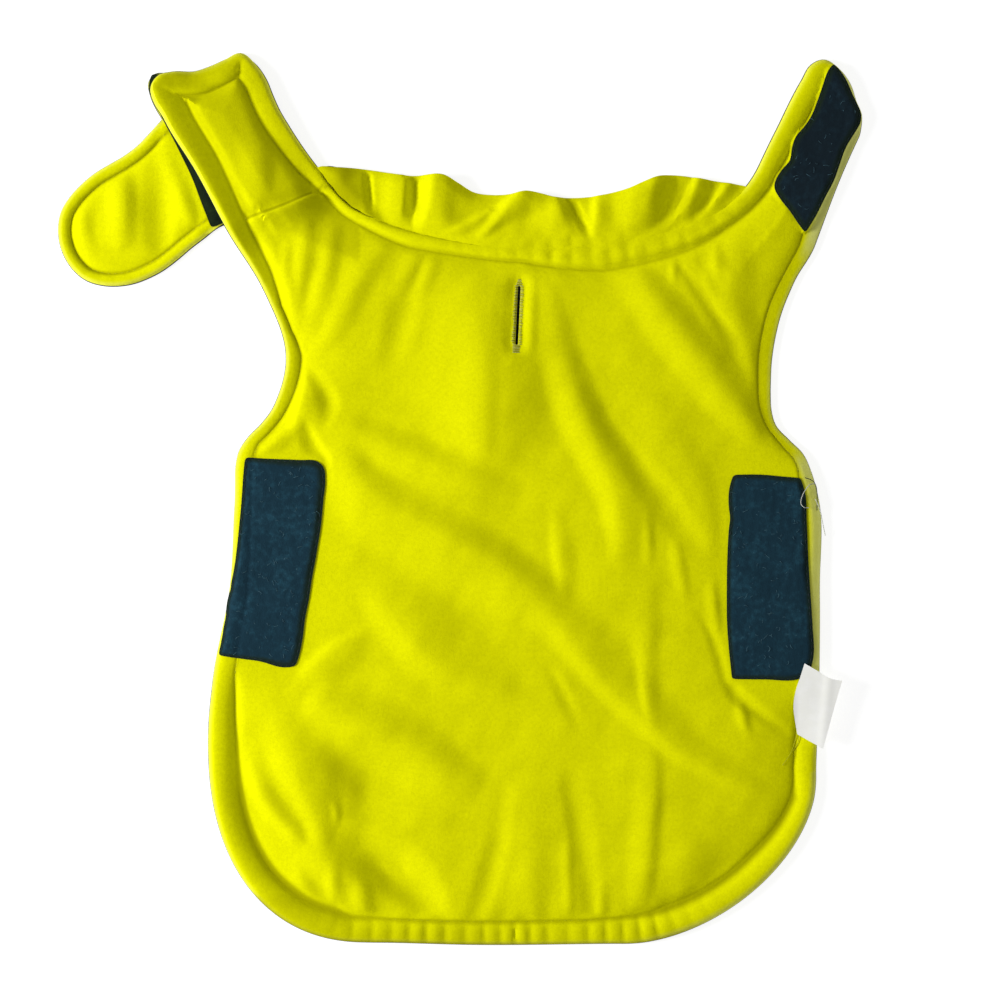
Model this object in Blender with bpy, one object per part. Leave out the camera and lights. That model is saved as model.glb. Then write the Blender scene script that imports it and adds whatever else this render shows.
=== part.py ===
"""Dog fleece vest, opened out and laid flat with its fleece lining up.

The vest is two layers bagged out together: a thin woven shell below and a
thick fleece lining above, joined by a rolled rim that is topstitched all
round. A gathered collar comes out of the neck seam. Hook-and-loop tapes lie
at the sides and on the neck straps, and a chest tab is fastened under the
left strap. Sizes are in millimetres in the tables, with x measured from the
middle of the back and y up the back from the hem.
"""
import math
from collections import namedtuple

import bmesh
import bpy
from mathutils import Vector
from mathutils.geometry import delaunay_2d_cdt

MM = 0.001

# Cloth
SHELL_WALL = 1.0          # woven outer cloth
FLEECE_WALL = 2.4         # lining fleece
TAPE_WALL = 1.2           # hook-and-loop tape
LABEL_WALL = 1.0          # satin label folded double
SEAM_GAP = 0.3            # between any two pieces
SHELL_PEEP = 0.4          # how far the shell shows past the lining's edge
FLEECE_LOFT = 1.0         # how far the loose lining floats above the shell

# Rolled rim
RIM_WIDTH = 14.0          # edge to topstitch
RIM_EDGE = 1.4            # fleece at the very edge
RIM_STITCH = 1.5          # fleece under the topstitch
RIM_ROLL = 2.7            # height of the roll above those two
RIM_SHOULDER = 8.0        # from the topstitch to full loft
COLLAR_ROUND = 4.0        # from the collar's edge to full thickness

# Care label: it steps up where its upper end lies on the side tape, and its
# outer end droops towards the surface beside the vest.
LABEL_STEP_FOOT = 126.0
LABEL_STEP_LENGTH = 10.0
LABEL_DROOP = 4.2
LABEL_DROOP_START = 156.0
LABEL_DROOP_LENGTH = 14.0

# The neck strap climbs over the chest tab
TAB_STACK = SHELL_WALL + FLEECE_WALL + 2 * TAPE_WALL + 4 * SEAM_GAP
CLIMB_MARGIN = 2.0
CLIMB_LENGTH = 20.0

# Mesh spacing
EDGE_STEP = 8.5
TAPE_STEP = 7.5
LINING_GRID = 16.0
STRAP_GRID = 10.0
SHELL_GRID = 34.0
COLLAR_GRID = 8.0
COLLAR_MARGIN = 3.0       # no grid point closer than this to the collar's edge
TAB_MARGIN = 10.0         # the same for the tab's shell
REACH_PER_STEP = 4.0      # a fold's ridge gets one mesh step for this much reach
NEAR = 2.5                # no loose point closer than this to a drawn line
CROWDED = 0.55            # share of a step below which two row points are one
CROSSED = 0.97            # share of a row's distance below which it has crossed over

SMOOTH, CORNER = "smooth", "corner"
Station = namedtuple("Station", "place x y turn")
Fold = namedtuple("Fold", "place x0 y0 x1 y1 x2 y2 reach rise0 rise1 rise2")

# Back panel with its two neck straps, clockwise. A number in the turn column
# is the fullness of the rounded hem corner that starts there.
BACK_EDGE = (
    Station("left tip, inner end", -142.5, 464.0, SMOOTH),
    Station("left tip, shoulder", -134.0, 457.5, SMOOTH),
    Station("left strap, inner edge", -122.0, 434.0, SMOOTH),
    Station("collar, left end", -102.0, 404.0, SMOOTH),
    Station("neck, left curve", -84.0, 384.0, SMOOTH),
    Station("neck, left quarter", -70.5, 377.0, SMOOTH),
    Station("neck, left flat", -33.0, 366.5, SMOOTH),
    Station("neck, middle", 5.0, 361.5, SMOOTH),
    Station("neck, right flat", 45.0, 364.0, SMOOTH),
    Station("neck, right quarter", 84.0, 372.0, SMOOTH),
    Station("neck, right curve", 106.0, 381.0, SMOOTH),
    Station("collar, right end", 121.0, 394.5, SMOOTH),
    Station("right strap, inner edge", 134.0, 418.5, SMOOTH),
    Station("right strap, upper inner edge", 150.0, 450.0, SMOOTH),
    Station("right tip, inner end", 155.0, 458.0, SMOOTH),
    Station("right tip, top", 160.5, 460.5, SMOOTH),
    Station("right tip, slope", 170.0, 455.0, SMOOTH),
    Station("right tip, outer corner", 181.0, 430.5, CORNER),
    Station("right strap, outer edge", 168.5, 403.0, SMOOTH),
    Station("right shoulder", 150.5, 356.0, SMOOTH),
    Station("right armhole, upper", 138.0, 325.0, SMOOTH),
    Station("right armhole, middle", 133.5, 294.0, SMOOTH),
    Station("right armhole, lower", 136.0, 270.5, SMOOTH),
    Station("right hip, upper", 150.5, 255.0, SMOOTH),
    Station("right hip", 157.5, 236.0, SMOOTH),
    Station("right side, middle", 159.0, 185.0, SMOOTH),
    Station("right side, lower", 158.5, 128.0, SMOOTH),
    Station("right hem corner", 157.0, 83.5, 1.72),
    Station("hem, right", 60.0, 0.6, SMOOTH),
    Station("hem, middle", -20.0, 0.0, SMOOTH),
    Station("left hem corner", -75.0, 1.2, 2.3),
    Station("left side, lower", -159.0, 106.5, SMOOTH),
    Station("left side, under the tape", -156.5, 138.0, SMOOTH),
    Station("left side, middle", -147.5, 187.0, SMOOTH),
    Station("left side, upper", -145.0, 231.5, SMOOTH),
    Station("left hip", -143.0, 256.5, SMOOTH),
    Station("left armhole, lower", -126.0, 278.0, SMOOTH),
    Station("left armhole, middle", -118.5, 303.0, SMOOTH),
    Station("left armhole, upper", -130.0, 340.5, SMOOTH),
    Station("left shoulder", -147.0, 368.5, SMOOTH),
    Station("left strap, outer edge", -165.0, 402.0, SMOOTH),
    Station("left strap, upper outer edge", -182.0, 430.0, SMOOTH),
    Station("left tip, outer corner", -188.3, 445.5, SMOOTH),
    Station("left tip, after the corner", -184.5, 451.3, SMOOTH),
    Station("left tip, start of the hollow", -177.0, 453.3, SMOOTH),
    Station("left tip, hollow", -165.0, 453.5, SMOOTH),
    Station("left tip, rise", -150.5, 460.0, SMOOTH),
)

# The collar's free edge, from its left end to its right end.
COLLAR_EDGE = (
    Station("left end", -100.8, 404.4, SMOOTH),
    Station("left flat", -80.0, 403.6, SMOOTH),
    Station("left slope", -52.0, 400.0, SMOOTH),
    Station("first crest", -37.0, 400.4, SMOOTH),
    Station("first dip", -21.0, 391.5, SMOOTH),
    Station("middle", -2.0, 390.5, SMOOTH),
    Station("second crest", 7.0, 392.0, SMOOTH),
    Station("second dip", 21.0, 389.0, SMOOTH),
    Station("right flat", 45.0, 389.8, SMOOTH),
    Station("right rise", 60.0, 393.5, SMOOTH),
    Station("third crest", 75.0, 399.6, SMOOTH),
    Station("right crest", 104.0, 397.4, SMOOTH),
    Station("right end", 119.4, 394.9, SMOOTH),
)

# Chest tab: its free end is round, its other end is hidden under the strap.
TAB_EDGE = (
    Station("upper edge, at the strap", -183.0, 429.5, CORNER),
    Station("flare", -189.2, 442.0, SMOOTH),
    Station("hidden end, outer corner", -190.0, 449.0, SMOOTH),
    Station("hidden end, round", -187.0, 453.0, SMOOTH),
    Station("hidden end, top", -181.0, 453.4, SMOOTH),
    Station("hidden end, inner corner", -145.0, 444.0, CORNER),
    Station("hidden end, lower corner", -116.0, 388.5, CORNER),
    Station("lower edge, at the strap", -154.0, 373.6, CORNER),
    Station("lower edge", -168.5, 362.5, SMOOTH),
    Station("lower edge, curve", -183.0, 351.0, SMOOTH),
    Station("free end, lower", -205.5, 343.0, SMOOTH),
    Station("free end, lower round", -223.0, 346.0, SMOOTH),
    Station("free end, tip", -235.5, 362.0, SMOOTH),
    Station("free end, upper round", -235.5, 381.5, SMOOTH),
    Station("free end, upper", -225.0, 395.5, SMOOTH),
    Station("upper edge", -196.0, 415.5, SMOOTH),
)

# Outlines of the tapes and of the label.
LEFT_TAPE = (
    Station("upper left", -138.3, 253.2, CORNER),
    Station("upper right", -97.8, 250.1, CORNER),
    Station("lower right", -112.0, 144.4, CORNER),
    Station("lower left", -151.8, 150.3, CORNER),
)
RIGHT_TAPE = (
    Station("upper left", 112.8, 244.9, CORNER),
    Station("upper right", 149.8, 243.4, CORNER),
    Station("right edge", 152.4, 185.0, SMOOTH),
    Station("right edge, lower", 150.8, 147.0, SMOOTH),
    Station("lower right", 147.2, 138.3, CORNER),
    Station("lower left", 113.4, 139.4, CORNER),
)
# This tape reaches the strap's own edge on two sides, so it is drawn past it.
STRAP_TAPE = (
    Station("tip", 166.0, 462.0, CORNER),
    Station("past the outer corner", 190.0, 432.0, CORNER),
    Station("past the outer edge", 174.0, 403.0, CORNER),
    Station("lower end", 151.3, 370.2, CORNER),
    Station("inner end", 135.7, 393.6, CORNER),
    Station("bend", 142.5, 406.1, CORNER),
)
HOOK_TAPE = (
    Station("tip, outer", -167.0, 440.0, CORNER),
    Station("tip, inner", -143.5, 443.5, CORNER),
    Station("foot, inner", -112.5, 394.0, CORNER),
    Station("foot, outer", -134.5, 381.5, CORNER),
)
# The tab's tape reaches the edge at the hidden end's outer corner.
TAB_TAPE = (
    Station("outer foot", -155.3, 374.9, CORNER),
    Station("outer edge", -166.5, 397.5, SMOOTH),
    Station("outer edge, upper", -182.6, 430.0, SMOOTH),
    Station("past the flare", -192.0, 443.0, CORNER),
    Station("past the outer corner", -192.0, 456.0, CORNER),
    Station("past the top", -181.0, 456.0, CORNER),
    Station("inner corner", -148.0, 443.3, CORNER),
    Station("inner foot", -119.5, 389.0, CORNER),
)
LABEL = (
    Station("upper end", 150.8, 146.6, CORNER),
    Station("upper fold", 164.3, 138.8, CORNER),
    Station("outer corner", 170.0, 137.8, CORNER),
    Station("outer edge", 164.8, 119.6, SMOOTH),
    Station("lower corner", 160.2, 102.4, CORNER),
    Station("lower end", 147.2, 109.7, CORNER),
    Station("inner edge", 145.2, 124.3, SMOOTH),
)

# Leash slit behind the neck
SLIT_TOP = (3.1, 342.7)
SLIT_FOOT = (1.0, 312.0)
SLIT_WIDTH = 2.0

# Largest folds of the loose lining: a ridge runs through three points.
FOLDS = (
    Fold("right shoulder", 56, 345, 91, 305, 126, 262, 17, 0.5, 4.0, 1.5),
    Fold("middle", 3, 310, 32, 262, 53, 207, 18, 1.0, 3.6, 0.8),
    Fold("right of middle", 52, 281, 76, 244, 100, 210, 13, 0.5, 2.6, 0.5),
    Fold("left neck", -57, 307, -33, 281, -12, 255, 20, 0.8, 2.4, 0.4),
    Fold("long upper", -89, 226, -44, 208, 14, 180, 18, 0.6, 3.0, 1.6),
    Fold("long middle", 14, 180, 39, 141, 74, 108, 16, 1.6, 3.2, 1.2),
    Fold("long lower", 74, 108, 98, 92, 131, 80, 13, 1.2, 1.8, 0.4),
    Fold("left low", -94, 117, -55, 94, -20, 72, 17, 0.5, 3.0, 0.6),
    Fold("left hem", -66, 47, -49, 33, -34, 20, 12, 0.6, 3.0, 0.8),
    Fold("left corner", -121, 85, -109, 70, -98, 56, 9, 0.4, 3.2, 0.6),
    Fold("shoulder fan, outer", -96, 364, -103, 342, -107, 318, 8, 0.4, 2.0, 0.4),
    Fold("shoulder fan, inner", -80, 356, -92, 338, -103, 320, 8, 0.4, 2.2, 0.4),
    Fold("hem pleat", 60, 68, 61, 40, 61, 18, 9, 0.3, 2.0, 1.0),
)

# Gathers of the collar, each from the neck seam to the free edge.
GATHERS = (
    Fold("first", -60, 375, -63, 388, -64, 401, 12, 0.5, 3.0, 2.6),
    Fold("second", -44, 370, -42, 384, -40, 400, 8, 1.0, 4.2, 3.2),
    Fold("third", -24, 367, -18, 379, -14, 391, 8, 0.6, 2.4, 2.0),
    Fold("fourth", -13, 364, -7, 377, -2, 390, 8, 0.8, 4.0, 3.4),
    Fold("fifth", 24, 363, 22, 376, 19, 389, 10, 0.6, 3.4, 3.0),
    Fold("sixth", 47, 366, 46, 378, 46, 390, 10, 0.8, 4.0, 3.4),
    Fold("seventh", 66, 370, 72, 384, 77, 399, 13, 0.8, 4.6, 4.2),
    Fold("eighth", 84, 375, 92, 388, 97, 398, 7, 0.8, 3.6, 3.2),
    Fold("ninth", 102, 381, 107, 390, 111, 397, 6, 0.5, 2.4, 2.2),
)
TAB_FOLDS = (
    Fold("tab fold", -172, 408, -178, 390, -180, 368, 11, 0.4, 3.0, 0.8),
)

FLEECE_YELLOW = (0.69, 0.74, 0.0, 1.0)
SHELL_NAVY = (0.012, 0.026, 0.060, 1.0)
TAPE_NAVY = (0.010, 0.034, 0.075, 1.0)
LABEL_WHITE = (0.82, 0.82, 0.80, 1.0)


def smoothstep(value):
    value = min(max(value, 0.0), 1.0)
    return value * value * (3.0 - 2.0 * value)


def smooth_run(start, end, leave, arrive, share):
    """Point on the curve from start to end with the given unit headings."""
    length = (end - start).length
    square, cube = share * share, share ** 3
    return ((2 * cube - 3 * square + 1) * start + (3 * square - 2 * cube) * end
            + (cube - 2 * square + share) * length * leave + (cube - square) * length * arrive)


def hem_corner(start, end, fullness, share):
    """Point on a quarter of a superellipse that leaves start and reaches end."""
    turn = share * math.pi / 2
    falling = end.y < start.y
    centre = Vector((end.x, start.y)) if falling else Vector((start.x, end.y))
    first = (start - centre) * math.cos(turn) ** (2 / fullness)
    return centre + first + (end - centre) * math.sin(turn) ** (2 / fullness)


def heading(stations, index):
    """Unit heading at a station, from its two neighbours or its hem corner."""
    before, row, after = stations[index - 1], stations[index], stations[(index + 1) % len(stations)]
    came = Vector((row.x - before.x, row.y - before.y))
    goes = Vector((after.x - row.x, after.y - row.y))
    if isinstance(row.turn, float):
        return Vector((0, -1)) if goes.y < 0 else Vector((math.copysign(1, goes.x), 0))
    if isinstance(before.turn, float):
        return Vector((math.copysign(1, came.x), 0)) if came.y < 0 else Vector((0, 1))
    return (came.normalized() * goes.length + goes.normalized() * came.length).normalized()


def draw(stations, step, closed=True):
    """Points along an outline, and the index of each named station."""
    points, places = [], {}
    runs = len(stations) if closed else len(stations) - 1
    for index in range(runs):
        row, following = stations[index], stations[(index + 1) % len(stations)]
        start, end = Vector((row.x, row.y)), Vector((following.x, following.y))
        leave = arrive = (end - start).normalized()
        if row.turn != CORNER and (closed or index > 0):
            leave = heading(stations, index)
        if following.turn != CORNER and (closed or index < runs - 1):
            arrive = heading(stations, (index + 1) % len(stations))
        pieces = max(1, round((end - start).length / step))
        places[row.place] = len(points)
        for piece in range(pieces):
            share = piece / pieces
            if isinstance(row.turn, float):
                points.append(hem_corner(start, end, row.turn, share))
            else:
                points.append(smooth_run(start, end, leave, arrive, share))
    if not closed:
        places[stations[-1].place] = len(points)
        points.append(Vector((stations[-1].x, stations[-1].y)))
    return points, places


def stadium(top, foot, width, step):
    """Slot with round ends."""
    top, foot = Vector(top), Vector(foot)
    along = (foot - top).normalized()
    side = Vector((-along.y, along.x)) * width / 2
    pieces = round((foot - top).length / step)
    run = [top.lerp(foot, piece / pieces) for piece in range(pieces + 1)]
    left, right = [p + side for p in run], [p - side for p in reversed(run)]
    return left + [foot + along * width / 2] + right + [top - along * width / 2]


def is_inside(point, loop):
    inside = False
    for start, end in zip(loop, loop[1:] + loop[:1]):
        if (start.y > point.y) != (end.y > point.y):
            cross = start.x + (point.y - start.y) * (end.x - start.x) / (end.y - start.y)
            inside ^= point.x < cross
    return inside


def distance_to(point, line, closed=True):
    best = math.inf
    ends = line[1:] + line[:1] if closed else line[1:]
    for start, end in zip(line, ends):
        run = end - start
        share = min(max((point - start).dot(run) / run.length_squared, 0.0), 1.0)
        best = min(best, (start + run * share - point).length)
    return best


def moved_out(loop, amount):
    """The loop moved outwards by an amount, inwards if it is negative."""
    area = sum(a.cross(b) for a, b in zip(loop, loop[1:] + loop[:1]))
    side = 1.0 if area < 0 else -1.0
    moved = []
    for index, point in enumerate(loop):
        run = (loop[(index + 1) % len(loop)] - loop[index - 1]).normalized()
        moved.append(point + side * amount * Vector((-run.y, run.x)))
    return moved


def fold_curve(fold, pieces=8):
    """Points on the ridge of a fold, through its three places."""
    start, middle, end = (Vector(place) for place in
                          ((fold.x0, fold.y0), (fold.x1, fold.y1), (fold.x2, fold.y2)))
    pull = 2 * middle - (start + end) / 2
    return [start.lerp(pull, t / pieces).lerp(pull.lerp(end, t / pieces), t / pieces)
            for t in range(pieces + 1)]


def fold_rise(point, folds):
    """How far the folds lift the cloth at a point; the tallest one counts."""
    tallest = 0.0
    for fold, ridge in folds:
        gap = distance_to(point, ridge, closed=False)
        if gap < fold.reach:
            nearest = min(range(len(ridge)), key=lambda index: (ridge[index] - point).length)
            share = nearest / (len(ridge) - 1)
            early = max(0.0, 1 - 2 * share)
            late = max(0.0, 2 * share - 1)
            rise = fold.rise0 * early + fold.rise2 * late + fold.rise1 * (1 - early - late)
            tallest = max(tallest, rise * (0.5 + 0.5 * math.cos(math.pi * gap / fold.reach)))
    return tallest


def with_curves(folds):
    return [(fold, fold_curve(fold)) for fold in folds]


def rim_wall(distance):
    """Thickness of the lining at a distance from its edge."""
    if distance < RIM_WIDTH:
        share = distance / RIM_WIDTH
        roll = math.sqrt(max(0.0, 1 - (2 * share - 1) ** 2))
        return RIM_EDGE + (RIM_STITCH - RIM_EDGE) * share + RIM_ROLL * roll
    return RIM_STITCH + (FLEECE_WALL - RIM_STITCH) * smoothstep((distance - RIM_WIDTH) / RIM_SHOULDER)


def rim_points(edge, distance):
    """Points inside the edge at one distance, dropped where they crowd."""
    kept = []
    for point in moved_out(edge, -distance):
        crowded = kept and (point - kept[-1]).length < CROWDED * EDGE_STEP
        if not crowded and distance_to(point, edge) > CROSSED * distance:
            kept.append(point)
    return kept


def grid_points(edge, grid, margin):
    """Points of a triangular grid inside the edge."""
    low_x, high_x = min(p.x for p in edge), max(p.x for p in edge)
    low_y, high_y = min(p.y for p in edge), max(p.y for p in edge)
    rows = int((high_y - low_y) / (grid * math.sqrt(0.75))) + 1
    columns = int((high_x - low_x) / grid) + 2
    spots = [Vector((low_x + (column + 0.5 * (row % 2)) * grid, low_y + row * grid * math.sqrt(0.75)))
             for row in range(rows) for column in range(columns)]
    return [p for p in spots if is_inside(p, edge) and distance_to(p, edge) > margin]


def triangulate(edge, holes=(), lines=(), spots=()):
    """Flat panel cut along its edge, its holes and the lines drawn on it."""
    points, links = [], []
    for loop in (edge, *holes, *lines):
        first = len(points)
        points += loop
        links += [(first + i, first + (i + 1) % len(loop)) for i in range(len(loop))]
    drawn = list(holes) + list(lines)
    points += [p for p in spots if all(distance_to(p, loop) > NEAR for loop in drawn)]
    verts, _, faces = delaunay_2d_cdt(points, links, [], 0, 1e-4)[:3]
    kept = []
    for face in faces:
        middle = sum((verts[i] for i in face), Vector((0, 0))) / len(face)
        if is_inside(middle, edge) and not any(is_inside(middle, hole) for hole in holes):
            kept.append(face)
    return verts, kept


def cut_from(panel, outline):
    """The triangles of a panel that lie inside an outline."""
    verts, faces = panel
    return verts, [face for face in faces
                   if is_inside(sum((verts[i] for i in face), Vector((0, 0))) / len(face), outline)]


def cloth(name, panel, underside, upper_side, material):
    """Closed wall over a flat panel, between two height functions."""
    verts, faces = panel
    mesh = bmesh.new()
    lower = {}
    for index in sorted({i for face in faces for i in face}):
        lower[index] = mesh.verts.new((verts[index].x, verts[index].y, underside(verts[index])))
    for face in faces:
        mesh.faces.new([lower[i] for i in face])
    raised = bmesh.ops.extrude_face_region(mesh, geom=mesh.faces[:])
    for vert in (item for item in raised["geom"] if isinstance(item, bmesh.types.BMVert)):
        vert.co.z = upper_side(vert.co.xy)
    bmesh.ops.recalc_face_normals(mesh, faces=mesh.faces[:])
    bmesh.ops.triangulate(mesh, faces=mesh.faces[:])
    bmesh.ops.scale(mesh, vec=(MM, MM, MM), verts=mesh.verts[:])
    data = bpy.data.meshes.new(name)
    mesh.to_mesh(data)
    mesh.free()
    data.materials.append(material)
    data.shade_smooth()
    data.set_sharp_from_angle(angle=math.radians(50))
    piece = bpy.data.objects.new(name, data)
    VEST.objects.link(piece)
    return piece


def cloth_material(name, colour, roughness):
    material = bpy.data.materials.new(name)
    material.use_nodes = True
    shader = material.node_tree.nodes["Principled BSDF"]
    shader.inputs["Base Color"].default_value = colour
    shader.inputs["Roughness"].default_value = roughness
    shader.inputs["Metallic"].default_value = 0.0
    material.diffuse_color = colour
    return material


for leftover in list(bpy.data.objects):
    bpy.data.objects.remove(leftover, do_unlink=True)
VEST = bpy.data.collections.new("dog_fleece_vest")
bpy.context.scene.collection.children.link(VEST)

fleece = cloth_material("lining_fleece", FLEECE_YELLOW, 0.95)
woven = cloth_material("woven_shell", SHELL_NAVY, 0.75)
tape = cloth_material("loop_tape", TAPE_NAVY, 0.95)
satin = cloth_material("label_satin", LABEL_WHITE, 0.45)

back_edge, back_places = draw(BACK_EDGE, EDGE_STEP)
tab_edge = draw(TAB_EDGE, EDGE_STEP)[0]
slit = stadium(SLIT_TOP, SLIT_FOOT, SLIT_WIDTH, EDGE_STEP)
folds, gathers, tab_folds = (with_curves(rows) for rows in (FOLDS, GATHERS, TAB_FOLDS))


def climb(point):
    """How far the strap is lifted by the tab that lies under it."""
    if is_inside(point, tab_edge):
        return TAB_STACK
    gap = distance_to(point, tab_edge) - CLIMB_MARGIN
    return TAB_STACK * (1 - smoothstep(gap / CLIMB_LENGTH))


def shell_underside(point):
    return climb(point)


def shell_top(point):
    return climb(point) + SHELL_WALL


def lining_underside(point):
    loft = FLEECE_LOFT * smoothstep((distance_to(point, back_edge) - RIM_WIDTH) / RIM_SHOULDER)
    return shell_top(point) + SEAM_GAP + loft + fold_rise(point, folds)


def lining_top(point):
    return lining_underside(point) + rim_wall(distance_to(point, back_edge))


def build_back():
    """Shell and lining of the back, with the tapes that are sewn to them."""
    hook_outline = draw(HOOK_TAPE, TAPE_STEP)[0]
    outlines = [draw(rows, TAPE_STEP)[0] for rows in (LEFT_TAPE, RIGHT_TAPE, STRAP_TAPE)]

    def on_climb(point):
        return distance_to(point, tab_edge) < CLIMB_LENGTH + STRAP_GRID or is_inside(point, tab_edge)

    # Both layers share their points where the strap climbs, so they stay parallel.
    rings = rim_points(back_edge, RIM_WIDTH / 2) + rim_points(back_edge, RIM_WIDTH)
    strap_grid = grid_points(back_edge, STRAP_GRID, RIM_WIDTH + STRAP_GRID / 3)
    shared = [p for p in rings + strap_grid if on_climb(p)]

    wide = [p for p in grid_points(back_edge, SHELL_GRID, NEAR) if not on_climb(p)]
    shell = triangulate(moved_out(back_edge, SHELL_PEEP), [slit], [hook_outline], shared + wide)
    cloth("back_shell", shell, shell_underside, shell_top, woven)
    cloth("strap_patch_left", cut_from(shell, hook_outline),
          lambda p: shell_underside(p) - SEAM_GAP - TAPE_WALL,
          lambda p: shell_underside(p) - SEAM_GAP, tape)

    ridges = [p for fold in FOLDS
              for p in fold_curve(fold, max(2, round(fold.reach / REACH_PER_STEP)))]
    ridges = [p for p in ridges if distance_to(p, back_edge) > RIM_WIDTH + NEAR and not on_climb(p)]
    loose = [p for p in grid_points(back_edge, LINING_GRID, RIM_WIDTH + LINING_GRID / 2)
             if not on_climb(p) and min((p - ridge).length for ridge in ridges) > LINING_GRID / 2]
    spots = shared + [p for p in rings if not on_climb(p)] + ridges + loose
    lining = triangulate(back_edge, [slit], [hook_outline, *outlines], spots)
    cloth("back_lining", lining, lining_underside, lining_top, fleece)
    for name, outline in zip(("side_patch_left", "side_patch_right", "strap_patch_right"), outlines):
        cloth(name, cut_from(lining, outline),
              lambda p: lining_top(p) + SEAM_GAP,
              lambda p: lining_top(p) + SEAM_GAP + TAPE_WALL, tape)


def build_collar():
    """Gathered collar that comes out of the neck seam."""
    start, end = back_places["collar, left end"], back_places["collar, right end"]
    neck = moved_out(back_edge, SEAM_GAP)[start:end + 1]
    neck_shell = moved_out(back_edge, SHELL_PEEP + SEAM_GAP)[start:end + 1]
    free = draw(COLLAR_EDGE, COLLAR_GRID, closed=False)[0]
    free.reverse()

    def rise(point):
        return fold_rise(point, gathers)

    def fleece_here(edge):
        return lambda p: (RIM_EDGE + (FLEECE_WALL - RIM_EDGE)
                          * smoothstep(distance_to(p, edge) / COLLAR_ROUND))

    edge = neck + free
    ridges = [p for fold in GATHERS for p in fold_curve(fold, 3)[:3]]
    loose = [p for p in grid_points(edge, COLLAR_GRID, COLLAR_MARGIN)
             if min((p - ridge).length for ridge in ridges) > COLLAR_MARGIN]
    wall = fleece_here(edge)
    cloth("collar_lining", triangulate(edge, spots=ridges + loose),
          lambda p: SHELL_WALL + SEAM_GAP + rise(p),
          lambda p: SHELL_WALL + SEAM_GAP + rise(p) + wall(p), fleece)
    shell_edge = neck_shell + moved_out(edge, SHELL_PEEP)[len(neck):]
    cloth("collar_shell", triangulate(shell_edge), lambda p: 0.0, lambda p: SHELL_WALL, woven)


def build_tab():
    """Chest tab with the tape that holds it under the left strap."""
    tape_outline = draw(TAB_TAPE, TAPE_STEP)[0]

    def pressed(point):
        """1 where the strap holds the tab down, 0 well away from it."""
        if is_inside(point, back_edge) or is_inside(point, tape_outline):
            return 1.0
        return 1 - smoothstep((distance_to(point, tape_outline) - NEAR) / RIM_WIDTH)

    def underside(point):
        free = 1 - pressed(point)
        loft = FLEECE_LOFT * smoothstep((distance_to(point, tab_edge) - RIM_WIDTH) / RIM_SHOULDER)
        return SHELL_WALL + SEAM_GAP + free * (loft + fold_rise(point, tab_folds))

    def top(point):
        share = pressed(point)
        wall = rim_wall(distance_to(point, tab_edge))
        return underside(point) + share * FLEECE_WALL + (1 - share) * wall

    cloth("tab_shell", triangulate(moved_out(tab_edge, SHELL_PEEP),
                                   spots=grid_points(tab_edge, SHELL_GRID, TAB_MARGIN)),
          lambda p: 0.0, lambda p: SHELL_WALL, woven)
    ridges = [p for fold in TAB_FOLDS for p in fold_curve(fold, 4)]
    loose = grid_points(tab_edge, LINING_GRID, RIM_WIDTH + RIM_SHOULDER / 2)
    rings = rim_points(tab_edge, RIM_WIDTH / 2) + rim_points(tab_edge, RIM_WIDTH)
    clear = [p for p in loose if min((p - ridge).length for ridge in ridges) > LINING_GRID / 2]
    spots = rings + ridges + clear
    lining = triangulate(tab_edge, lines=[tape_outline], spots=spots)
    cloth("tab_lining", lining, underside, top, fleece)
    cloth("tab_patch", cut_from(lining, tape_outline),
          lambda p: top(p) + SEAM_GAP, lambda p: top(p) + SEAM_GAP + TAPE_WALL, tape)


def build_label():
    """Blank care label, sewn in at the right side and hanging over the edge."""
    outline = draw(LABEL, TAPE_STEP)[0]
    roll_top = SHELL_WALL + rim_wall(RIM_WIDTH / 2) + SEAM_GAP
    tape_top = roll_top + SEAM_GAP + TAPE_WALL

    def underside(point):
        over_tape = smoothstep((point.y - LABEL_STEP_FOOT) / LABEL_STEP_LENGTH)
        droop = LABEL_DROOP * smoothstep((point.x - LABEL_DROOP_START) / LABEL_DROOP_LENGTH)
        return roll_top + (tape_top - roll_top) * over_tape + 2 * SEAM_GAP - droop

    cloth("care_label", triangulate(outline, spots=grid_points(outline, TAPE_STEP, NEAR)),
          underside, lambda p: underside(p) + LABEL_WALL, satin)


build_back()
build_collar()
build_tab()
build_label()

# The middle of the vest's footprint on the surface is the origin.
corners = [vert.co for piece in VEST.objects for vert in piece.data.vertices]
middle_x, middle_y = ((max(c[axis] for c in corners) + min(c[axis] for c in corners)) / 2
                      for axis in (0, 1))
laid_out = bpy.data.objects.new("laid_flat", None)
laid_out.location = (-middle_x, -middle_y, 0.0)
VEST.objects.link(laid_out)
for piece in [item for item in VEST.objects if item.type == "MESH"]:
    piece.parent = laid_out
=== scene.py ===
import math

import bpy
import numpy as np
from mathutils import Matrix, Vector, kdtree
from mathutils.geometry import delaunay_2d_cdt


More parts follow.
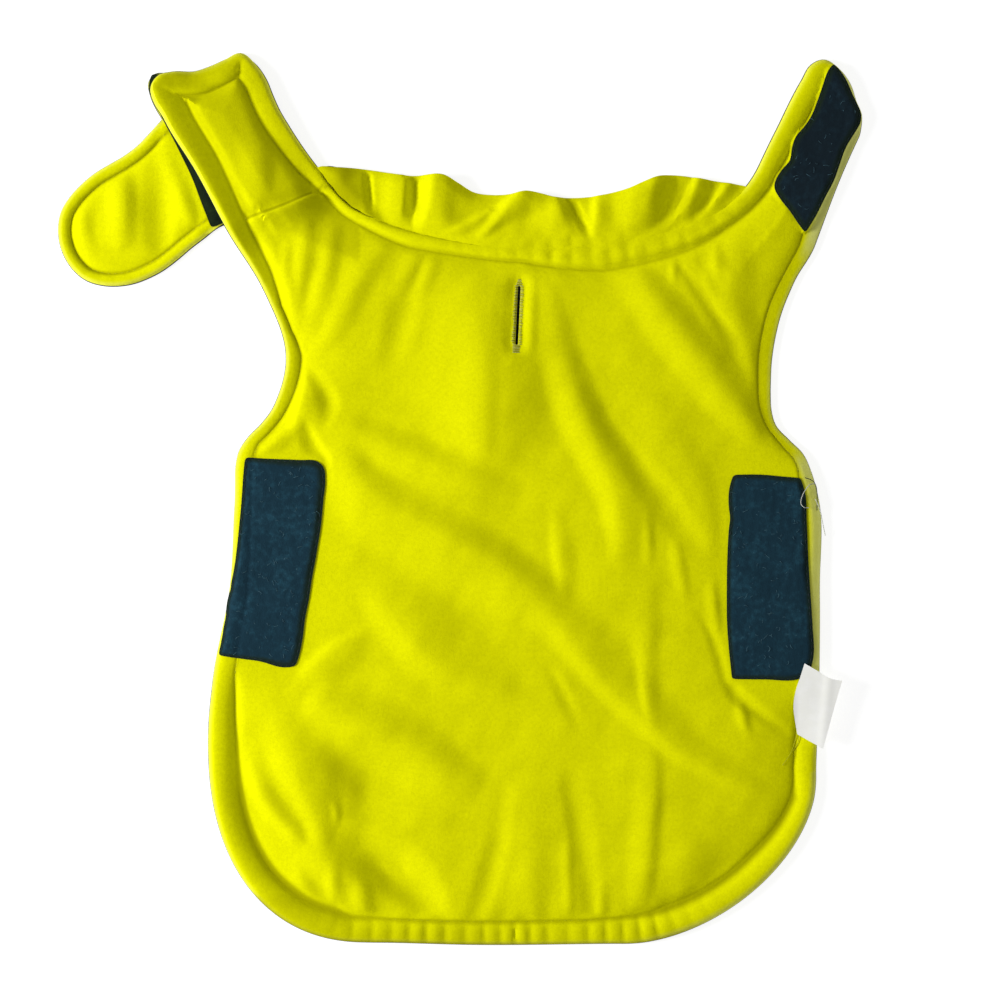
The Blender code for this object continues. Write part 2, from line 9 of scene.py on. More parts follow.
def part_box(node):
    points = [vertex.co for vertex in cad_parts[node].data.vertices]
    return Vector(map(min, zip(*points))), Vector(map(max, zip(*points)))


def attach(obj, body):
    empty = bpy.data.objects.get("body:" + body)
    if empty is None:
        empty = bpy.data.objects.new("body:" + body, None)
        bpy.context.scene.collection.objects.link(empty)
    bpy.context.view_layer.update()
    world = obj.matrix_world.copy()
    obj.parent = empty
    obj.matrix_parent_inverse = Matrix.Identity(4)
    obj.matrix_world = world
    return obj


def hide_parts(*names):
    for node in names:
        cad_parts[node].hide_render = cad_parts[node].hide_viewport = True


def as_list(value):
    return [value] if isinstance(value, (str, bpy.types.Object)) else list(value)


mm = 0.001
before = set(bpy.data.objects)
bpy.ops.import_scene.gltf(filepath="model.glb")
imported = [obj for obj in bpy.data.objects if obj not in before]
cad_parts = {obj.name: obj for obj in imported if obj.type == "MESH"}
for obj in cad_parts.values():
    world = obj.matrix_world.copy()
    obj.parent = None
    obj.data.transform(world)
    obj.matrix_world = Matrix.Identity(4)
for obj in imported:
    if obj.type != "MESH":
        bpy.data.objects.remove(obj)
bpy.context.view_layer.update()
print("frame loaded:", len(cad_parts), "nodes")

# Places on the vest are in mm: x from the middle of the back, y up from the hem. Heights are in mm
# above the table.
backLow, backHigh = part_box("back_lining")
vest = {
    "rightReach": 181.0,      # middle of the back to the right strap's corner
    "shellWall": 1.0,
    "fleeceWall": 2.4,
    "packing": 0.9,           # share of the fleece's wall that is drawn, to clear the shell's folds
    "tapeWall": 1.2,
    "seamGap": 0.3,
    "tabStack": 7.0,          # what the left strap climbs over
    "climbMargin": 2.0,
    "climbLength": 20.0,
}
panelOrigin = np.array((backHigh.x / mm - vest["rightReach"], backLow.y / mm))
seamHeight = vest["shellWall"] + vest["seamGap"]
drawnFleece = vest["fleeceWall"] * vest["packing"]


def smoothStep(value):
    value = np.clip(value, 0, 1)
    return value * value * (3 - 2 * value)


def fadeIn(value, start, over):
    # 0 up to a start, then rising to 1 over a distance
    return smoothStep((value - start) / over)


def fadeOut(value, end, over):
    # 0 past an end, and 1 a distance before it
    return smoothStep((end - value) / over)


def bell(value):
    # 1 at zero, falling to 0 at -1 and 1
    return 0.5 + 0.5 * np.cos(np.pi * np.clip(np.abs(value), 0, 1))


def softNoise(points, scale, seed):
    # smooth noise of about unit height, in nine crossing waves about a scale in mm long
    draw, waves = np.random.default_rng(seed), 9
    total = np.zeros(len(points))
    for _ in range(waves):
        heading, phase = draw.uniform(0, 2 * math.pi, 2)
        pace = 2 * math.pi / (scale * draw.uniform(0.7, 1.6))
        along = points[:, 0] * math.cos(heading) + points[:, 1] * math.sin(heading)
        total += np.sin(along * pace + phase)
    return total / math.sqrt(waves)


def wander(along, scale, seed):
    # the same noise for places on a line
    return softNoise(np.column_stack((along, 0 * along)), scale, seed)


# outlines

def cutLoops(node):
    # edge loops of a node's upper face in vest mm, anticlockwise, the outer one first
    mesh, weldWithin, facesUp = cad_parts[node].data, 0.002, 0.05
    spots = np.array([vert.co for vert in mesh.vertices]) / mm
    keys, shared = np.unique(np.round(spots / weldWithin).astype(int), axis=0, return_inverse=True)
    shared = shared.ravel()
    merged = np.zeros((len(keys), 3))
    merged[shared] = spots
    follows = {}
    for face in mesh.polygons:
        if face.normal.z > facesUp:
            ring = [shared[index] for index in face.vertices]
            for start, end in zip(ring, ring[1:] + ring[:1]):
                if start != end:
                    follows.setdefault(start, set()).add(end)
    rim = {start: end for start, ends in follows.items() for end in ends
           if start not in follows.get(end, ())}
    loops = []
    while rim:
        loop = [next(iter(rim))]
        while loop[-1] in rim:
            loop.append(rim.pop(loop[-1]))
        loops.append(merged[loop[:-1], :2] - panelOrigin)
    return sorted(loops, key=len, reverse=True)


def smoothLoop(loop, spacing, cornerAngle=math.radians(62)):
    # a smooth curve through the loop's points that keeps its sharp corners
    came, goes = loop - np.roll(loop, 1, axis=0), np.roll(loop, -1, axis=0) - loop
    cameLength = np.linalg.norm(came, axis=1)[:, None]
    goesLength = np.linalg.norm(goes, axis=1)[:, None]
    heading = came / cameLength * goesLength + goes / goesLength * cameLength
    heading /= np.linalg.norm(heading, axis=1)[:, None]
    turn = np.arccos(np.clip(np.sum(came * goes, axis=1) / (cameLength * goesLength)[:, 0], -1, 1))
    sharp = turn > cornerAngle
    points = []
    for index in range(len(loop)):
        after = (index + 1) % len(loop)
        start, end, length = loop[index], loop[after], goesLength[index, 0]
        leave = (end - start) / length if sharp[index] else heading[index]
        arrive = (end - start) / length if sharp[after] else heading[after]
        pieces = max(1, round(length / spacing))
        for share in np.arange(pieces) / pieces:
            square, cube = share ** 2, share ** 3
            points.append((2 * cube - 3 * square + 1) * start + (3 * square - 2 * cube) * end
                          + length * ((cube - 2 * square + share) * leave + (cube - square) * arrive))
    return np.array(points)


def inwardFrom(loop):
    # the inward direction at each point of an anticlockwise loop
    run = np.roll(loop, -1, axis=0) - np.roll(loop, 1, axis=0)
    run /= np.linalg.norm(run, axis=1)[:, None]
    return np.column_stack((-run[:, 1], run[:, 0]))


def loopLengths(loop):
    # each side's length, and the length run through at each point
    lengths = np.linalg.norm(np.roll(loop, -1, axis=0) - loop, axis=1)
    return lengths, np.concatenate(([0], np.cumsum(lengths)))


def nearestPoint(points, loop):
    tree = kdtree.KDTree(len(loop))
    for index, spot in enumerate(loop):
        tree.insert((*spot, 0), index)
    tree.balance()
    return np.array([tree.find((*spot, 0))[1] for spot in points], int)


def nearestOnLoop(points, loop):
    # distance to a closed loop, and how far along it the nearest place is
    nearest = nearestPoint(points, loop)
    run = np.roll(loop, -1, axis=0) - loop
    lengths, milestones = loopLengths(loop)
    gap, along = np.full(len(points), np.inf), np.zeros(len(points))
    for step in (-1, 0):
        index = (nearest + step) % len(loop)
        share = np.clip(np.sum((points - loop[index]) * run[index], axis=1) / lengths[index] ** 2, 0, 1)
        here = np.linalg.norm(points - loop[index] - share[:, None] * run[index], axis=1)
        closer = here < gap
        gap = np.where(closer, here, gap)
        along = np.where(closer, milestones[index] + share * lengths[index], along)
    return gap, along


def isInside(points, loop):
    inside = np.zeros(len(points), bool)
    for start, end in zip(loop, np.roll(loop, -1, axis=0)):
        if start[1] != end[1]:
            crosses = (start[1] > points[:, 1]) != (end[1] > points[:, 1])
            reach = start[0] + (points[:, 1] - start[1]) * (end[0] - start[0]) / (end[1] - start[1])
            inside ^= crosses & (points[:, 0] < reach)
    return inside


def coverOf(points, loop, fade):
    # 1 inside a loop, falling to 0 at a distance outside it
    cover = 1 - smoothStep(nearestOnLoop(points, loop)[0] / fade)
    return np.where(isInside(points, loop), 1.0, cover)


def gridInside(loop, spacing, margin, holes=()):
    # a triangular grid of points that keeps clear of the loop and of its holes
    low, high = loop.min(axis=0), loop.max(axis=0)
    rowStep = spacing * math.sqrt(0.75)
    rows, columns = int((high[1] - low[1]) / rowStep) + 1, int((high[0] - low[0]) / spacing) + 2
    row, column = np.mgrid[0:rows, 0:columns]
    spots = np.column_stack(((low[0] + (column + 0.5 * (row % 2)) * spacing).ravel(),
                             (low[1] + row * rowStep).ravel()))
    spots = spots[isInside(spots, loop)]
    spots = spots[nearestOnLoop(spots, loop)[0] > margin]
    for hole in holes:
        clear = nearestOnLoop(spots, hole)[0] > 0.6 * spacing
        spots = spots[clear & ~isInside(spots, hole)]
    return spots


def stadium(top, foot, width, step):
    # a slot with round ends, anticlockwise
    top, foot = np.array(top), np.array(foot)
    along = (foot - top) / np.linalg.norm(foot - top)
    side = np.array((-along[1], along[0]))
    pieces = round(np.linalg.norm(foot - top) / step)
    run = [top + (foot - top) * piece / pieces for piece in range(pieces + 1)]
    turn = [math.radians(angle) for angle in (45, 90, 135)]
    footEnd = [foot + width / 2 * (side * math.cos(a) + along * math.sin(a)) for a in turn]
    topEnd = [top - width / 2 * (side * math.cos(a) + along * math.sin(a)) for a in turn]
    return np.array([p + side * width / 2 for p in run] + footEnd
                    + [p - side * width / 2 for p in reversed(run)] + topEnd)


def thinned(row, least):
    # drops points that crowd the one before
    kept = [row[0]]
    for spot in row[1:]:
        if np.hypot(*(spot - kept[-1])) > least:
            kept.append(spot)
    return np.array(kept)


def rowsInside(loop, steps, least):
    # rows of points that follow a loop at distances inside it
    return np.concatenate([thinned(loop + inwardFrom(loop) * step, least) for step in steps])


# cloth made as a closed wall between two heights

def flatPanel(loops, spots):
    # triangles inside the outer loop and outside its holes; the loops' points come first
    points = np.concatenate([*loops, spots]) if len(spots) else np.concatenate(loops)
    links, first = [], 0
    for loop in loops:
        links += [(first + i, first + (i + 1) % len(loop)) for i in range(len(loop))]
        first += len(loop)
    verts, _, faces = delaunay_2d_cdt([Vector(p) for p in points], links, [], 1, 1e-5)[:3]
    verts, faces = np.array(verts), np.array(faces)
    for hole in loops[1:]:
        faces = faces[~isInside(verts[faces].mean(axis=1), hole)]
    return verts, faces


def newPiece(name, verts, faces, covers=()):
    mesh = bpy.data.meshes.new(name)
    mesh.from_pydata(verts.tolist(), [], faces)
    mesh.update()
    mesh.shade_smooth()
    piece = bpy.data.objects.new(name, mesh)
    bpy.context.scene.collection.objects.link(piece)
    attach(piece, "root")
    if covers:
        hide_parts(*covers)
    return piece


def clothPiece(name, loops, spots, underSpots, top, underside, covers):
    # a fine upper face, a plainer under face, and a side along every loop
    upper, upperFaces = flatPanel(loops, spots)
    under, underFaces = flatPanel(loops, underSpots)
    verts = np.concatenate((np.column_stack((upper + panelOrigin, top(upper))),
                            np.column_stack((under + panelOrigin, underside(under)))))
    count, first = len(upper), 0
    faces = upperFaces.tolist() + (underFaces[:, ::-1] + count).tolist()
    for loop in loops:
        for i in range(len(loop)):
            start, end = first + i, first + (i + 1) % len(loop)
            faces.append((end, start, start + count, end + count))
        first += len(loop)
    piece = newPiece(name, verts * mm, faces, covers)
    piece.data.set_sharp_from_angle(angle=math.radians(55))
    print(name, len(piece.data.polygons), "faces")
    return piece


def addAttribute(piece, name, values):
    layer = piece.data.attributes.new(name, "FLOAT", "POINT")
    layer.data.foreach_set("value", np.asarray(values, np.float32))


def panelPlaces(piece):
    places = np.zeros(3 * len(piece.data.vertices))
    piece.data.vertices.foreach_get("co", places)
    return places.reshape(-1, 3)[:, :2] / mm - panelOrigin


def tubes(name, paths, radius, sides):
    # many small closed tubes joined in one mesh; each path is a list of places in vest mm
    verts, faces = [], []
    for path in paths:
        path = np.array(path, float)
        path[:, :2] += panelOrigin
        run = np.gradient(path, axis=0)
        run /= np.linalg.norm(run, axis=1)[:, None]
        up = np.array((0, 0, 1.0)) if abs(run[0][2]) < 0.8 else np.array((1.0, 0, 0))
        first = len(verts)
        for spot, along in zip(path, run):
            side = np.cross(up, along)
            side /= np.linalg.norm(side)
            over = np.cross(along, side)
            for turn in np.arange(sides) * 2 * math.pi / sides:
                verts.append(spot + radius * (side * math.cos(turn) + over * math.sin(turn)))
        for step in range(len(path) - 1):
            ring, following = first + step * sides, first + (step + 1) * sides
            for i in range(sides):
                j = (i + 1) % sides
                faces.append((ring + i, ring + j, following + j, following + i))
        faces.append(tuple(range(first + sides - 1, first - 1, -1)))
        faces.append(tuple(range(len(verts) - sides, len(verts))))
    piece = newPiece(name, np.array(verts) * mm, faces)
    print(name, len(paths), "threads,", len(faces), "faces")
    return piece


# creases: each runs through places of five numbers: x, y, its reach to the left and to the right
# of its run, and its rise, which is below zero for a hollow; painted shade is laid along the cloth
# in the same way, with its strength in place of the rise

def smoothLine(places, columns, pieces):
    # a smooth curve through the places of a row, with their other numbers carried along it
    places = np.array(places, float).reshape(-1, columns)
    places = np.concatenate((2 * places[:1] - places[1:2], places, 2 * places[-1:] - places[-2:-1]))
    share = (np.arange(pieces) / pieces)[:, None]
    line = []
    for before, start, end, after in zip(places, places[1:], places[2:], places[3:]):
        line.append(start + 0.5 * share * (end - before + share * (
            2 * before - 5 * start + 4 * end - after + share * (3 * (start - end) + after - before))))
    return np.concatenate((*line, places[-2:-1]))


def creaseHeight(points, creases):
    total, leastReach = np.zeros(len(points)), 0.5
    for crease in creases:
        line = smoothLine(crease, 5, 5)
        spots, reach = line[:, :2], line[:, 2:4].max()
        low, high = spots.min(axis=0) - reach, spots.max(axis=0) + reach
        near = np.all((points > low) & (points < high), axis=1)
        here = points[near]
        if not len(here):
            continue
        best, place, side = np.full(len(here), np.inf), np.zeros(len(here)), np.ones(len(here))
        for step, (start, end) in enumerate(zip(spots, spots[1:])):
            run = end - start
            part = np.clip((here - start) @ run / (run @ run), 0, 1)
            offset = here - start - part[:, None] * run
            gap = np.linalg.norm(offset, axis=1)
            closer = gap < best
            best = np.where(closer, gap, best)
            place = np.where(closer, step + part, place)
            side = np.where(closer, np.sign(run[0] * offset[:, 1] - run[1] * offset[:, 0]), side)
        left, right, rise = (np.interp(place, np.arange(len(line)), line[:, column])
                             for column in (2, 3, 4))
        total[near] += rise * bell(best / np.maximum(np.where(side > 0, left, right), leastReach))
    return total


# shared outlines

def spreadStrap(loop):
    # the right strap's outer side stands a little further out
    (x, y), furthest = loop.T, 2.8
    away = (x > 138) * fadeIn(y, 345, 20) * fadeOut(y, 431, 9)
    away = away * smoothStep((inwardFrom(loop)[:, 0] + 0.1) / -0.4)      # where the edge faces right
    return loop - inwardFrom(loop) * (furthest * away)[:, None]


backCut = spreadStrap(smoothLoop(cutLoops("back_lining")[0], 1.5, math.radians(130)))
tabCut = smoothLoop(cutLoops("tab_lining")[0], 1.5, math.radians(44))

# tape outlines, given anticlockwise; the left strap's keeps its plain outline
handCuts = {
    "side_patch_left": (
        (-153.5, 151), (-142.5, 149), (-131, 147.5), (-119, 144.5), (-113.5, 145), (-112, 149),
        (-110, 158.5), (-108.5, 169), (-106.5, 179.5), (-105, 190), (-103, 200), (-101.5, 210.5),
        (-100, 221), (-99, 231.5), (-98, 242), (-99, 249), (-102, 251.5), (-111.5, 252), (-127, 253),
        (-139.5, 253.5), (-141, 236.5), (-142.5, 221), (-145.5, 195), (-149, 179.5), (-152, 158.5)),
    "side_patch_right": (
        (113, 138.5), (130, 138.5), (148, 138.5), (153.5, 141), (155.5, 150), (155, 166), (154, 182),
        (153, 200), (152, 221), (151.5, 235), (149, 243), (140, 243.5), (127, 244.5), (114, 244.5),
        (112.5, 240), (112, 225), (112.5, 222), (112, 219), (111, 205), (110.5, 190), (110.5, 172),
        (111.5, 155)),
    "strap_patch_right": (
        (151.5, 370), (156.5, 378), (162, 389.5), (166, 397), (169.5, 406.5), (172.5, 414.5),
        (176.5, 421), (180.5, 429), (180.5, 433), (176.5, 441), (172, 451), (166.5, 458.5), (163.5, 455),
        (160.5, 447), (158, 439.5), (154, 430), (150.5, 425), (146.5, 420.5), (144.5, 414.5), (143, 407),
        (140, 404), (137, 400), (135, 393.5), (137.5, 389), (143.5, 381.5), (148.5, 374)),
    "tab_patch": (
        (-157.5, 373), (-120, 389), (-148, 443.5), (-180, 452.5), (-188.5, 453), (-190, 447), (-184, 432),
        (-176, 417), (-168, 400), (-161.5, 384)),
}


def tapeOutline(loop, seed):
    # the tape's corners are a little round and its edges not quite straight
    waver, clearOfEdge = 0.14, 0.5
    loop = smoothLoop(np.array(loop, float), 1.3, math.radians(50))
    for _ in range(2):
        loop = 0.5 * loop + 0.25 * (np.roll(loop, 1, axis=0) + np.roll(loop, -1, axis=0))
    milestones = loopLengths(loop)[1][:-1]
    loop = loop + inwardFrom(loop) * (waver * wander(milestones, 30, seed))[:, None]
    gap = nearestOnLoop(loop, backCut)[0]
    return loop + inwardFrom(loop) * np.clip(clearOfEdge - gap, 0, clearOfEdge)[:, None]


liningTapes = ("side_patch_left", "side_patch_right", "strap_patch_right")
tapeCuts = {node: tapeOutline(handCuts[node] if node in handCuts else cutLoops(node)[0], seed)
            for seed, node in enumerate((*liningTapes, "tab_patch", "strap_patch_left"), 90)}


def climbAt(points):
    # how high the left strap lies over the chest tab
    gap = nearestOnLoop(points, tabCut)[0] - vest["climbMargin"]
    lifted = 1 - smoothStep(gap / vest["climbLength"])
    return vest["tabStack"] * np.where(isInside(points, tabCut), 1.0, lifted)


# rolled rim

rim = {
    # places round the edge: x, y, width to the topstitch, height of the roll as a share of the
    # full one, where its crest lies across the width, and the fleece left under the topstitch
    "places": [
        (-163, 454, 12.5, 0.9, 0.62, 0.95), (-176, 452, 13, 0.9, 0.5, 0.95),
        (-188, 445, 15, 1.1, 0.20, 0.9), (-165, 402, 13.5, 1.2, 0.14, 0.8),
        (-147, 368, 11, 1.15, 0.16, 0.8), (-133, 347, 8, 0.95, 0.2, 0.85),
        (-124, 331, 4.6, 0.75, 0.35, 0.95), (-119, 319, 5, 0.75, 0.35, 0.95),
        (-118, 306, 8, 0.8, 0.30, 0.8), (-121, 290, 7.2, 0.8, 0.30, 0.8),
        (-125.5, 278, 6.4, 0.8, 0.35, 0.9), (-138, 266, 6.4, 0.8, 0.35, 0.95),
        (-143, 255, 9, 0.8, 0.35, 0.95), (-147, 200, 10, 0.8, 0.35, 0.95),
        (-156, 143.5, 11, 0.9, 0.33, 0.95), (-159, 104, 15.5, 1.1, 0.31, 0.7),
        (-156, 74, 16.8, 1.25, 0.28, 0.5), (-121.7, 21, 17.2, 1.3, 0.30, 0.42),
        (-95.7, 5, 16.4, 1.15, 0.36, 0.42), (-85, 1.6, 13.4, 1.0, 0.42, 0.55),
        (-60, 0.4, 11.8, 0.95, 0.42, 0.75), (-20, 0, 11.8, 0.9, 0.45, 0.8),
        (40, 0.4, 12.2, 0.95, 0.42, 0.75), (86, 3, 15.8, 1.05, 0.34, 0.5),
        (133, 39, 15.4, 1.0, 0.34, 0.5), (155.5, 74, 12, 0.95, 0.34, 0.5), (158, 92, 12, 0.9, 0.36, 0.8),
        (159, 122, 11, 0.5, 0.40, 1.1), (159, 145, 9.5, 0.12, 0.5, 1.7), (159, 200, 8.5, 0.12, 0.5, 1.8),
        (157, 243, 8, 0.2, 0.5, 1.8), (154, 252, 6, 0.3, 0.60, 1.8), (137, 268, 3.8, 0.25, 0.70, 2.1),
        (134.7, 284, 6.2, 0.2, 0.75, 2.3), (134, 308, 7, 0.2, 0.75, 2.4), (140, 332, 7, 0.2, 0.75, 2.5),
        (146, 348, 6.2, 0.25, 0.75, 2.4), (159, 368, 8, 0.3, 0.65, 2.3), (171, 402, 10, 0.3, 0.60, 2.2),
        (181, 430, 9.5, 0.5, 0.45, 1.6), (160, 460, 11, 0.9, 0.42, 1.0), (149, 448, 12.6, 1.0, 0.40, 0.9),
        (133, 413, 11.2, 1.0, 0.40, 0.8), (115, 391, 10.2, 0.95, 0.45, 0.6),
        (106, 381, 9.8, 1.0, 0.5, 0.6), (91, 375, 12.2, 1.05, 0.50, 0.6), (66, 367, 13, 1.0, 0.5, 0.6),
        (45, 364, 13.5, 1.0, 0.50, 0.65), (25, 362.3, 10, 1.0, 0.5, 0.65),
        (5, 361.5, 6.3, 1.0, 0.45, 0.65), (-20, 363.8, 6.6, 1.05, 0.45, 0.65),
        (-40, 368, 7.6, 1.1, 0.45, 0.6), (-53, 371.5, 8.2, 1.15, 0.45, 0.6),
        (-76, 379.5, 6.4, 1.3, 0.45, 0.55), (-92, 392, 6.2, 1.3, 0.42, 0.55),
        (-104, 407, 9.5, 1.05, 0.20, 0.8), (-118, 428, 11.4, 1.1, 0.16, 0.7),
        (-140, 463, 12, 1.0, 0.22, 0.8),
    ],
    "edge": 1.4,              # fleece at the very edge
    "roll": 3.1,              # height of the full roll
    "pucker": 0.55, "puckerLength": 9.4,
    "puckerShares": {"all": 0.14, "hem": 2.0, "neck": 1.3},
    "joinHeight": 3.5, "joinRipple": 0.22,     # where the collar runs into the rim
    # rows of points across the rim, at shares of its width
    "rows": (0.03, 0.08, 0.15, 0.24, 0.34, 0.45, 0.56, 0.66, 0.75, 0.83, 0.9, 0.95, 0.985,
             1.02, 1.06, 1.12, 1.2, 1.3),
    "underRows": (0.5, 0.8, 0.93, 1.0, 1.07, 1.2, 1.45),
}


def rimTable(rows, loop):
    # the places in their order along the loop, and their other numbers in columns
    rows = np.array(rows, float)
    along = nearestOnLoop(rows[:, :2], loop)[1]
    order = np.argsort(along)
    return along[order], rows[order, 2:].T


backRim = rimTable(rim["places"], backCut)


def rimWidths(loop, table):
    # the width at each point of the rim's own loop, in a column
    milestones = loopLengths(loop)[1]
    return np.interp(milestones[:-1], table[0], table[1][0], period=milestones[-1])[:, None]


def ringsInside(loop, table, shares, spacing):
    # rows of points that follow the edge at shares of the rim's width
    rows, widths = [], rimWidths(loop, table)
    for share in shares:
        row = loop + inwardFrom(loop) * (share * widths)
        row = row[isInside(row, loop)]
        gap, _, here = rimPlace(row, loop, table)[:3]
        rows.append(thinned(row[gap > 0.965 * share * here], 0.6 * spacing))
    return np.concatenate(rows)


def rimPlace(points, loop, table):
    # distance from the edge, place along it, and the rim's width, roll, crest and stitch height there
    gap, along = nearestOnLoop(points, loop)
    total = loopLengths(loop)[1][-1]
    return gap, along, *(np.interp(along, table[0], column, period=total) for column in table[1])


def rimShape(share, crest, sewn):
    # cross-section of the roll: 0 at the edge, round up to 1 at its crest, then down to a flat groove
    # that is wider where the topstitch pulls deep
    across = np.clip(share / (1 - 0.45 * np.clip(0.9 - sewn, 0, 0.4)), 0, 1)
    rising = np.sqrt(np.clip(1 - (1 - across / crest) ** 2, 0, 1))
    fullness = 1.3 + 1.5 * fadeIn(crest, 0.2, 0.15) + 2 * np.clip(crest - 0.35, 0, 1)
    falling = 1 - np.clip((across - crest) / (1 - crest), 0, 1) ** fullness
    return np.where(across < crest, rising, falling)


def bodyShape(beyond, sewn):
    # the cloth swells up again past the topstitch, first steeply and then gently
    past = np.clip(beyond, 0, None)
    steep = 0.14 + 0.28 * np.clip((sewn - 0.5) / 0.45, 0, 1)
    rest = 1 - (1 - np.clip(past / 22, 0, 1)) ** 1.3
    return steep * (1 - np.exp(-past / 2)) + 0.18 * (1 - np.exp(-past / 4)) + (0.82 - steep) * rest


print("outlines read:", len(backCut), "points round the back")

# fleece lining of the back

